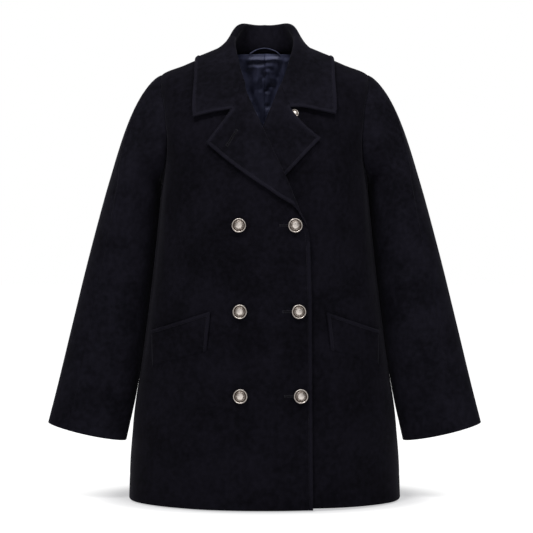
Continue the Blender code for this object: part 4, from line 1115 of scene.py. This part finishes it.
def sew_lining(side, word):
    levels = np.concatenate((np.linspace(LINING_LEVEL, NECK_LEVEL - 0.16, 130),
                             NECK_LEVEL - 0.03 - SEAM_MARKS[::-1] / 0.07))
    share = np.concatenate((np.linspace(0.3 / 18, 0.47, 78), 0.5 - SEAM_MARKS[::-1] / 0.36))
    first = armhole_bulge(levels, ARMHOLE_BACK) + LINING_EDGE
    angle = first[:, None] + (180 - 2 * first)[:, None] * share
    angle[:, -1] -= 0.04
    angle = angle if side > 0 else 180 - angle
    level = np.repeat(levels[:, None], len(share), 1)
    points, normals = body_at(angle, level)
    up, across = run_length(points, 0), run_length(points, 1)
    from_neck, from_centre = up[-1:] - up, across[:, -1:] - across
    loose = soft_step(0, 0.012, from_neck) * soft_step(0, 0.03, up) * soft_step(0, 0.03, across)
    wrinkles = flat_creases(points[..., 0], points[..., 2], LINING_CREASES) * soft_step(0, 0.004, from_neck)
    seam = 0.0011 * np.exp(-(from_centre / 0.0012) ** 1.5) + 0.0009 * np.exp(-(from_neck / 0.0014) ** 1.5)
    inward = CLOTH + LINING_GAP + SATIN + np.clip(LINING_LOOSE * loose + wrinkles * loose, 0.0002, None) - seam
    inside = points - normals * inward[..., None]
    piece = sew(f"lining_back_{word}", inside, inside + normals * SATIN, kind=SILK)
    declare(piece, inside, 0.21, 0.27)


sew_lining(-1, "right")
sew_lining(1, "left")

# %% [markdown]
# ## Loop, threads and small tubes
# The hanger loop is a narrow satin tube, and every visible thread is one too. All threads of one kind share a
# mesh: thousands of separate objects would be slow, and no thread moves on its own. Each tube is a run of rings
# around a short path.

# %% Tubes
TUBE_END = 0.55              # a tube's end rings, as a share of its radius


def bend_over(points, normals, rises):
    """Thread paths that rise over the cloth and dive into it."""
    return list(points + normals * np.array(rises)[None, :, None])


def tube_mesh(name, paths, radius, sides=6):
    """One mesh of many closed tubes; paths is a list of point runs."""
    points, faces, start = [], [], 0
    turns = np.linspace(0, 2 * np.pi, sides, endpoint=False)[None, :, None]
    for path in paths:
        path = np.asarray(path, float)
        along = unit(np.gradient(path, axis=0))
        helper = np.where(np.abs(along[:, 1:2]) < 0.9, np.array((0.0, 1.0, 0.0)), np.array((1.0, 0.0, 0.0)))
        across = unit(np.cross(along, helper))
        other = np.cross(along, across)
        taper = np.ones(len(path))
        taper[0] = taper[-1] = TUBE_END
        rings = path[:, None] + radius * taper[:, None, None] * (across[:, None] * np.cos(turns)
                                                                 + other[:, None] * np.sin(turns))
        at, between = ring_faces(len(path), sides)
        faces += (start + between).tolist() + [(start + at[0, ::-1]).tolist(), (start + at[-1]).tolist()]
        points.append(rings.reshape(-1, 3))
        start += len(path) * sides
    return add_mesh(name, np.concatenate(points), faces)


# %% Hanger loop
LOOP_HALF_WIDTH = 0.0322
LOOP_RADIUS = 0.0011
LOOP_SEAT = 0.0002
LOOP_HEIGHT = 0.0104
LOOP_DROP = 0.003            # its ends go into the neck seam
loop_share = np.linspace(-1, 1, 49)
loop_angle = 90 - loop_share * np.degrees(LOOP_HALF_WIDTH / BODY_RINGS[-1][6])
loop_level = np.full(49, float(NECK_LEVEL))
loop_inward = body_normal(loop_angle, loop_level) * (1, 1, 0)
loop_path = body_point(loop_angle, loop_level) - unit(loop_inward) * (CLOTH + FACING / 2 + LOOP_RADIUS + LOOP_SEAT)
loop_path[:, 2] += LOOP_HEIGHT * (1 - loop_share ** 2) - LOOP_DROP
new_piece("satin_hanger_loop", tube_mesh("satin_hanger_loop", [loop_path], LOOP_RADIUS, 12), "hanger_loop")
print("hanger loop:", round(float(run_length(loop_path, 0)[-1]) * 1000), "mm of satin tube")

# %% [markdown]
# ## Buttons
# The six large buttons and the small one at the lapel are cast metal with a shank behind. One half profile,
# turned round, gives the back, the rounded rim, the groove and the dome. The dome is lightly hammered: small dents
# on a sunflower spiral, each a soft hollow, so that it glitters without any picture on it.

# %% Button profile
BUTTON_PROFILE = (           # shares of the radius: way out, height
    (0.0, 0.0), (0.20, 0.0), (0.21, 0.05), (0.17, 0.11), (0.18, 0.175), (0.34, 0.195), (0.64, 0.21),
    (0.90, 0.245), (0.975, 0.28), (1.0, 0.335), (0.985, 0.39), (0.94, 0.43), (0.885, 0.435), (0.845, 0.405),
    (0.825, 0.36), (0.79, 0.335), (0.755, 0.335), (0.725, 0.355), (0.70, 0.40), (0.62, 0.465), (0.50, 0.515),
    (0.34, 0.555), (0.17, 0.58), (0.0, 0.588))
DOME_SHARE = 0.69
DENTS = 46
DENT_SIZE = 0.105
DENT_DEPTH = 0.020
GOLDEN_TURN = 2.39996        # radians from one dent of the spiral to the next
BUTTON_SIDES = 60
LARGE_RADIUS = 0.0122
SMALL_RADIUS = 0.0074


def hammered(x, y):
    """Height of the dents over the dome, in shares of the radius."""
    total = np.zeros(x.shape)
    for index in range(DENTS):
        out = DOME_SHARE * 0.93 * math.sqrt((index + 0.5) / DENTS)
        turn = index * GOLDEN_TURN
        near = ((x - out * math.cos(turn)) ** 2 + (y - out * math.sin(turn)) ** 2) / DENT_SIZE ** 2
        total = total - DENT_DEPTH * (0.7 + 0.3 * math.sin(index * 1.7)) * np.exp(-near * 2.2)
    return total


def turned_button(name, radius):
    profile = np.array(BUTTON_PROFILE)
    length = run_length(profile, 0)
    steps = np.unique(np.concatenate((np.linspace(0, length[-1], 84), length)))
    out, height = (smooth_line(steps, length, column) for column in profile.T)
    turns = np.linspace(0, 2 * np.pi, BUTTON_SIDES, endpoint=False)
    out = np.clip(out, 0, 1)[1:-1, None]
    x, y = out * np.cos(turns), out * np.sin(turns)
    z = height[1:-1, None] + np.zeros_like(x)
    on_dome = (steps[1:-1] > length[16])[:, None] & (out < DOME_SHARE)
    z = z + np.where(on_dome, hammered(x, y), 0)
    rings = np.stack((x, y, z), -1).reshape(-1, 3)
    at, between = ring_faces(len(steps) - 2, BUTTON_SIDES)
    foot, crown = len(rings), len(rings) + 1
    faces = between.tolist()
    faces += [[foot, b, a] for a, b in zip(at[0].tolist(), np.roll(at[0], -1).tolist())]
    faces += [[a, b, crown] for a, b in zip(at[-1].tolist(), np.roll(at[-1], -1).tolist())]
    ends = np.array(((0, 0, 0.0), (0, 0, height[-1] + hammered(np.zeros(1), np.zeros(1))[0])))
    return add_mesh(name, np.concatenate((rings, ends)) * radius, faces)


large_button, small_button = turned_button("large_button", LARGE_RADIUS), turned_button("small_button", SMALL_RADIUS)
print("a button has", len(large_button.polygons), "faces")

# %% Sew the buttons on
BUTTON_ROWS = (              # height, place in the wearer's right column, place in the left column
    (-0.3194, -0.0422, 0.0507),
    (-0.4656, -0.0413, 0.0574),
    (-0.6084, -0.0403, 0.0606),
)
LAPEL_BUTTON_AT = (0.0510, -0.1262)
LAPEL_BUTTON_HEIGHT = 0.6    # it is flatter, as it sits on the front, half under the edge of the lapel


def place_button(word, mesh, side, place, spin, height=1.0):
    """Set a button on a front, its shank on the cloth and its face turned out, spun by some angle."""
    seat, out = on_front(side, np.array(place), np.array(SEAM_GAP))
    level = unit(np.cross((0.0, 0.0, 1.0), out))
    right = level * math.cos(spin) + np.cross(out, level) * math.sin(spin)
    axes = (right, np.cross(out, right), out * height, seat)
    matrix = Matrix([[axis[k] for axis in axes] for k in range(3)] + [(0, 0, 0, 1)])
    new_piece(f"metal_button_{word}", mesh, f"button_{word}", matrix)


places = [(x, height) for height, *row in BUTTON_ROWS for x in row]
for number, place in enumerate(places, 1):
    place_button(number, large_button, -1, place, number)
place_button("lapel", small_button, 1, LAPEL_BUTTON_AT, 0.4, LAPEL_BUTTON_HEIGHT)
print("buttons:", len(places) + 1)

# %% [markdown]
# ## Buttonholes
# A tailored coat has keyhole buttonholes: a slit with a small round eye at one end, both edged with close thread
# stitches, and a bar of thread at the other end. One is on the lapel, and three lie under the right-hand buttons,
# where their barred ends look out. Each stitch is a short bent tube, seated on the cloth under it.

# %% Buttonholes
THREAD = 0.00026
SLIT_RADIUS = 0.00042
HOLE_PITCH = 0.00075         # from stitch to stitch
HOLE_REACH = 0.0020          # how far a stitch goes into the cloth beside the slit
EYE_RADIUS = 0.0017
BUTTONHOLES = (              # piece, x and z of the barred end, x and z of the end with the eye
    ("cloth_lapel_right", -0.0468, -0.1560, -0.0636, -0.1826),
    ("cloth_front_right", 0.0262, -0.3190, 0.0546, -0.3190),
    ("cloth_front_right", 0.0310, -0.4652, 0.0594, -0.4652),
    ("cloth_front_right", 0.0342, -0.6080, 0.0626, -0.6080),
)


def drop_on(piece_name, flat):
    """Seat points given as (x, z) on a sewn piece, as seen from the front."""
    piece = bpy.data.objects[piece_name]
    hits = [piece.ray_cast((x, -0.6, z), (0, 1, 0)) for x, z in np.reshape(flat, (-1, 2)).tolist()]
    points = np.array([tuple(hit[1]) for hit in hits]).reshape(np.shape(flat)[:-1] + (3,))
    normals = np.array([tuple(hit[2]) for hit in hits]).reshape(points.shape)
    return points, normals


def hole_stitches(start, end):
    """Flat start and end of every stitch round the hole, and the line of its slit."""
    start, end = np.array(start), np.array(end)
    along = (end - start) / np.linalg.norm(end - start)
    aside = np.array((-along[1], along[0]))
    slit_end = end - along * EYE_RADIUS * 1.6
    pairs = []
    for at in np.arange(0.0010, np.linalg.norm(slit_end - start), HOLE_PITCH):
        for way in (-1, 1):
            foot = start + along * at + aside * way * 0.00035
            pairs.append((foot, foot + aside * way * HOLE_REACH + along * 0.0002))
    for turn in np.radians(np.arange(-155, 156, 17)):
        out = along * math.cos(turn) + aside * math.sin(turn)
        centre = end - along * EYE_RADIUS * 0.6
        pairs.append((centre + out * EYE_RADIUS * 0.75, centre + out * (EYE_RADIUS * 0.75 + HOLE_REACH)))
    for at in (-0.0006, -0.0001, 0.0004):
        pairs.append((start + along * at - aside * 0.0026, start + along * at + aside * 0.0026))
    return pairs, (start, slit_end, end - along * EYE_RADIUS * 0.6)


def work_buttonhole(number, piece_name, start_x, start_z, end_x, end_z):
    pairs, slit = hole_stitches((start_x, start_z), (end_x, end_z))
    share = np.array((0, 0.12, 0.5, 0.88, 1.0))[None, :, None]
    ends = np.array(pairs)
    flat = ends[:, :1] + (ends[:, 1:] - ends[:, :1]) * share
    points, normals = drop_on(piece_name, flat)
    paths = bend_over(points, normals, (-0.0002, 0.0002, 0.0004, 0.0002, -0.0002))
    threads = tube_mesh(f"thread_buttonhole_{number}", paths, THREAD)
    new_piece(threads.name, threads)
    line = np.array(slit)[:2]
    middle, out = drop_on(piece_name, line[0] + (line[1] - line[0]) * np.linspace(0, 1, 24)[:, None])
    eye, eye_out = drop_on(piece_name, np.array(slit[2])[None])
    ring = np.linspace(0, 2 * np.pi, 13)
    aside = unit(np.cross(eye_out[0], (0.0, 1.0, 0.1)))
    other = np.cross(eye_out[0], aside)
    round_eye = eye + EYE_RADIUS * 0.45 * (np.cos(ring)[:, None] * aside + np.sin(ring)[:, None] * other)
    # The slit and its eye are drawn as a thin, nearly black tube: painted shade for the shadow inside the opening.
    cut = tube_mesh(f"cut_buttonhole_{number}", [middle - out * 0.0001, round_eye], SLIT_RADIUS, 8)
    new_piece(cut.name, cut)
    print("buttonhole", number, "with", len(pairs), "stitches")


for hole_number, hole in enumerate(BUTTONHOLES, 1):
    work_buttonhole(hole_number, *hole)

# %% [markdown]
# ## Topstitching
# The free edges are held by one row of lock stitches, 6.6 mm in. A stitch is a short arc of thread whose ends dive
# into the cloth, so every stitch is one bent tube of five rings. The rows follow the sunk line that the edge
# profile left for them.

# %% Topstitching
STITCH_PITCH = 0.0032
STITCH_LENGTH = 0.0025
STITCH_THREAD = 0.00021
below_break = (PANEL_LEVELS < BREAK_LEVEL - 0.05) & (PANEL_LEVELS > 0.06)
stitch_lines.append([grid[below_break, -1 - STITCH_MARK] for grid in (right_front_top, right_front_normals)])


def stitch_along(line, out):
    length = run_length(line, 0)
    starts = np.arange(0.001, length[-1] - STITCH_LENGTH, STITCH_PITCH)
    at = starts[:, None] + STITCH_LENGTH * np.array((0.0, 0.15, 0.5, 0.85, 1.0))
    points, normals = (np.stack([np.interp(at, length, column) for column in grid.T], -1) for grid in (line, out))
    return bend_over(points, unit(normals), (-0.0003, 0.00005, 0.0002, 0.00005, -0.0003))


all_stitches = [stitch for line, out in stitch_lines for stitch in stitch_along(line, out)]
new_piece("thread_topstitching", tube_mesh("thread_topstitching", all_stitches, STITCH_THREAD))
print("topstitches:", len(all_stitches))

# %% [markdown]
# # Finishes
# From here on the lesson paints. A material in Blender is a graph of nodes, and sums on it are easier to read as
# sums. The class below wraps one output of a node. Arithmetic on it adds Math nodes. Its method node adds any
# node, with its settings first and then the values or links of its sockets, and the others are short for these.

# %% Shader sums
class Wire:
    def __init__(self, material, socket=None):
        self.material, self.socket = material, socket

    def node(self, kind, settings=(), inputs=(), output=0):
        made = self.material.node_tree.nodes.new("ShaderNode" + kind)
        for name, value in dict(settings).items():
            setattr(made, name, value)
        for name, value in dict(inputs).items():
            if isinstance(value, Wire):
                self.material.node_tree.links.new(value.socket, made.inputs[name])
            else:
                made.inputs[name].default_value = value
        return Wire(self.material, made.outputs[output] if made.outputs else None)

    def maths(self, operation, *values):
        return self.node("Math", {"operation": operation}, dict(enumerate(values)))

    def __add__(self, other):
        return self.maths("ADD", self, other)

    def __rsub__(self, other):
        return self.maths("SUBTRACT", other, self)

    def __mul__(self, other):
        return self.maths("MULTIPLY", self, other)

    __radd__ = __add__
    __rmul__ = __mul__

    def times(self, factors):
        """These coordinates, each multiplied by its own factor."""
        return self.node("VectorMath", {"operation": "MULTIPLY"}, {0: self, 1: factors})

    def length(self):
        return self.node("VectorMath", {"operation": "LENGTH"}, {0: self}, "Value")

    def noise(self, scale, detail=2.0, roughness=0.5, distortion=0.0):
        """A cloudy pattern over these coordinates."""
        return self.node("TexNoise", (), {"Vector": self, "Scale": scale, "Detail": detail,
                                          "Roughness": roughness, "Distortion": distortion})

    def bump(self, strength, distance):
        return self.node("Bump", (), {"Height": self, "Strength": strength, "Distance": distance})

    def between(self, low, high):
        """0 below low, 1 above high and a soft step in between."""
        return self.node("MapRange", {"interpolation_type": "SMOOTHSTEP"},
                         {"Value": self, "From Min": low, "From Max": high})

    def tint(self, first, second):
        """A colour that goes from first to second as this value goes from 0 to 1."""
        return self.node("Mix", {"data_type": "RGBA"}, {"Factor": self, 6: first + (1.0,), 7: second + (1.0,)}, 2)


def new_material(name):
    """A bare material: the wire to start from, and the coordinates of the object that wears it."""
    material = bpy.data.materials.new(name)
    material.use_nodes = True
    material.node_tree.nodes.clear()
    start = Wire(material)
    return start, start.node("TexCoord", (), (), "Object")


def finish_material(start, **sockets):
    """Lead the wires to the sockets of one Principled shader; an underscore stands for a blank in their names."""
    shader = start.node("BsdfPrincipled", (), {name.replace("_", " "): value for name, value in sockets.items()})
    start.node("OutputMaterial", (), {"Surface": shader})
    print("finish:", start.material.name, "with", len(start.material.node_tree.nodes), "nodes")
    return start.material


print("a wire knows", [name for name in vars(Wire) if not name.startswith("__")])

# %% [markdown]
# ## Wool melton
# Melton is wool that was woven, then milled until a felted nap hides the weave. It takes the light softly and
# from a low angle its nap glows a little, which is what the shader's sheen is for. Three things vary over it: a
# broad cloudiness from pressing, a finer mottling of the nap, and the fibres themselves, which only the bump
# shows. Noise is read in the object's own coordinates, so the grain has its real size on every piece. A painted
# highlight lightens the pressed ridge along each edge, and collar, lapels and sleeves get a lighter copy of the
# wool, as painted light for the brighter look they have.

# %% Wool
HIGHLIGHT_GAIN = 0.55                   # how much lighter the painted highlight makes the pressed edges


def wool_material(name, dark, light, nap, shine):
    start, place = new_material(name)
    cloud = place.noise(15.0, 3.0, 0.55)
    mottle = place.noise(120.0, 4.0, 0.6)
    fibre = place.noise(1300.0, 3.0, 0.7, 0.6)
    lint = start.node("TexVoronoi", {"feature": "DISTANCE_TO_EDGE"}, {"Vector": place, "Scale": 420.0})
    grain = cloud.between(0.34, 0.66) * 0.35 + mottle.between(0.30, 0.72) * 0.35 + fibre.between(0.25, 0.75) * 0.30
    stray = (1 - lint.between(0.0, 0.05)) * mottle.between(0.60, 0.72)
    # Painted highlight: pressed edge ridges are made lighter, as where they catch the light, a little unevenly.
    rubbed = start.node("Attribute", {"attribute_name": "rubbed"}, (), "Fac") * (0.6 + cloud * 0.8)
    height = fibre * 0.55 + mottle * 0.45 + stray * 0.25
    return finish_material(
        start, Base_Color=(grain + stray * 0.35 + rubbed * HIGHLIGHT_GAIN).tint(dark, light), Roughness=0.86 + grain * 0.12,
        Normal=height.bump(0.55, 0.0006), Specular_IOR_Level=shine, Sheen_Weight=nap, Sheen_Roughness=0.35,
        Sheen_Tint=(0.80, 0.78, 0.95, 1.0))


wool_cloth = wool_material("wool_melton", (0.0009, 0.0008, 0.0014), (0.0060, 0.0055, 0.0090), 0.03, 0.03)
# A lighter copy of the same wool for collar, lapels and sleeves: painted light, for the brighter look they have.
lighter_painted_cloth = wool_material("wool_melton_brushed", (0.0013, 0.0012, 0.0020), (0.0080, 0.0075, 0.0120), 0.03, 0.03)
wool_thread = wool_material("navy_thread", (0.0036, 0.0034, 0.0050), (0.0180, 0.0170, 0.0240), 0.012, 0.15)
# Nearly black wool for the buttonhole's slit: painted shade, not a colour of the cloth.
painted_slit_shade = wool_material("buttonhole_cut", (0.0006, 0.0006, 0.0008), (0.0016, 0.0015, 0.0022), 0.0, 0.05)

# %% [markdown]
# ## Lining satin
# Satin's long floats run one way and make it gleam on every wrinkle. The floats are too fine to see, so a
# stretched noise carries them in the bump and a little in the roughness, and the folds do the rest.

# %% Satin
def satin_material(name, dark, light):
    start, place = new_material(name)
    drawn = start.node("Mapping", (), {"Vector": place, "Scale": (2200.0, 2200.0, 160.0)})
    floats, cloud, slubs = drawn.noise(1.0), place.noise(40.0, 3.0), drawn.noise(0.16)
    tone = cloud.between(0.3, 0.7) * 0.55 + floats.between(0.3, 0.7) * 0.25 + slubs.between(0.45, 0.75) * 0.20
    return finish_material(
        start, Base_Color=tone.tint(dark, light), Roughness=0.44 + tone * 0.12,
        Normal=(floats + slubs * 0.6).bump(0.22, 0.0003), Specular_IOR_Level=0.32,
        Specular_Tint=(0.72, 0.76, 1.0, 1.0), Sheen_Weight=0.03)


satin_cloth = satin_material("lining_satin", (0.0080, 0.0090, 0.0220), (0.0480, 0.0520, 0.0980))

# %% [markdown]
# ## Aged silver
# The buttons are plated and worn: bright on top of the dome, where sleeves and fingers rub them, and brown with
# tarnish round it, in the groove and in the dents. Each zone is found by its distance from the button's own axis.

# %% Metal
def silver_material(name, radius):
    start, place = new_material(name)
    flat = place.times((1 / radius, 1 / radius, 0.0))
    out, cloud, grain = flat.length(), place.noise(260.0, 4.0, 0.6), place.noise(2400.0)
    dents = start.node("TexVoronoi", {"feature": "SMOOTH_F1"},
                       {"Vector": flat, "Scale": 6.5, "Smoothness": 0.6, "Randomness": 0.9})
    groove = out.between(0.69, 0.745) * (1 - out.between(0.80, 0.85))
    hollow = (1 - out.between(0.60, 0.69)) * dents.between(0.30, 0.62)
    ring = out.between(0.30, 0.54) * (1 - out.between(0.80, 0.88))
    rim = out.between(0.84, 0.90)
    tarnish = (groove * 0.85 + ring * 0.58 + rim * 0.42 + hollow * 0.20
               + cloud.between(0.52, 0.75) * 0.25).between(0.05, 0.95)
    return finish_material(
        start, Base_Color=tarnish.tint((0.58, 0.53, 0.49), (0.060, 0.042, 0.032)), Metallic=1.0,
        Roughness=0.24 + tarnish * 0.30 + grain * 0.10, Normal=(grain * 0.4 + cloud * 0.6).bump(0.25, 0.0003))


large_button.materials.append(silver_material("aged_silver", LARGE_RADIUS))
small_button.materials.append(silver_material("aged_silver_small", SMALL_RADIUS))

# %% Put the finishes on
FINISH_OF = (                # a later row wins
    (("cloth_",), wool_cloth), (("cloth_lapel", "cloth_collar", "cloth_sleeve"), lighter_painted_cloth),
    (("satin_",), satin_cloth), (("thread_",), wool_thread), (("cut_",), painted_slit_shade))
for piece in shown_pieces():
    for starts, material in FINISH_OF:
        if piece.name.startswith(starts):
            piece.data.materials.clear()
            piece.data.materials.append(material)

# %% [markdown]
# ## The studio
# Pale floor, pale surroundings and soft lights: two high in front, at the left and the right, a weak one overhead
# and a weak one by the camera. Nearly black cloth shows its edges only where light is missing beside them, so the
# surroundings are seen white but give little light. The floor lies just under the hem, and a soft shadow round
# the hem is painted into the colour of its glow.

# %% Studio
FLOOR = -0.8030
AIR = 0.06                   # strength of the surroundings as a light
AIR_IN_METAL = 0.35          # as shiny things mirror it
AIR_SEEN = 1.0               # as the camera sees it
world = bpy.data.worlds.new("studio_air")
world.use_nodes = True
world.node_tree.nodes.clear()
air = Wire(world)
seen = air.node("LightPath", (), (), "Is Camera Ray")
mirrored = air.node("LightPath", (), (), "Is Glossy Ray")
strength = AIR + seen * (AIR_SEEN - AIR) + mirrored * (AIR_IN_METAL - AIR)
shining = air.node("Background", (), {"Color": (1.0, 1.0, 1.0, 1.0), "Strength": strength})
air.node("OutputWorld", (), {"Surface": shining})
bpy.context.scene.world = world
bpy.context.scene.view_settings.view_transform = "Standard"
print("the air gives", AIR, "as light")

# %% Lights
LIGHTS = (                   # name, place, size, power
    ("key_light", (-0.8, -1.5, 2.2), 0.65, 60),
    ("fill_light", (0.95, -1.6, 2.0), 0.8, 36),
    ("top_light", (0.0, -0.5, 2.4), 1.0, 3),
    ("front_light", (0.0, -3.2, 0.0), 2.4, 12),
)
AIM = (0.0, 0.0, -0.35)      # they all look at the middle of the coat
for name, place, size, power in LIGHTS:
    light = add_object(name, bpy.data.lights.new(name, "AREA"))
    light.data.shape, light.data.size, light.data.energy = "SQUARE", size, power
    light.location = place
    away_x, away_y, away_z = np.subtract(place, AIM)
    light.rotation_euler = (math.atan2(math.hypot(away_x, away_y), away_z), 0,
                            math.atan2(away_y, away_x) + math.pi / 2)
print("lights:", len(LIGHTS))

# %% Floor
HEM_REACH = (0.245, 0.165)   # half width and half depth of the hem
SHADOW_END = 1.45            # where the soft shadow of the hem ends, with 1 under the hem line
floor_mesh = add_mesh("floor", [(-12, -6, FLOOR), (12, -6, FLOOR), (12, 30, FLOOR), (-12, 30, FLOOR)],
                      [(0, 1, 2, 3)])
add_object("floor", floor_mesh)
start, on_floor = new_material("pale_floor")
pale = on_floor.noise(3.0)
away = on_floor.times((1 / HEM_REACH[0], 1 / HEM_REACH[1], 0.0)).length()
# Painted shadow: the floor glows grey just round the hem and white further off, on top of the shadows the lights
# cast.
glow = away.between(1.0, SHADOW_END).tint((0.52, 0.52, 0.53), (1.0, 1.0, 1.0))
floor_mesh.materials.append(finish_material(
    start, Base_Color=pale.tint((0.30, 0.30, 0.30), (0.34, 0.34, 0.34)), Roughness=0.9, Specular_IOR_Level=0.1,
    Emission_Color=glow, Emission_Strength=1.0))
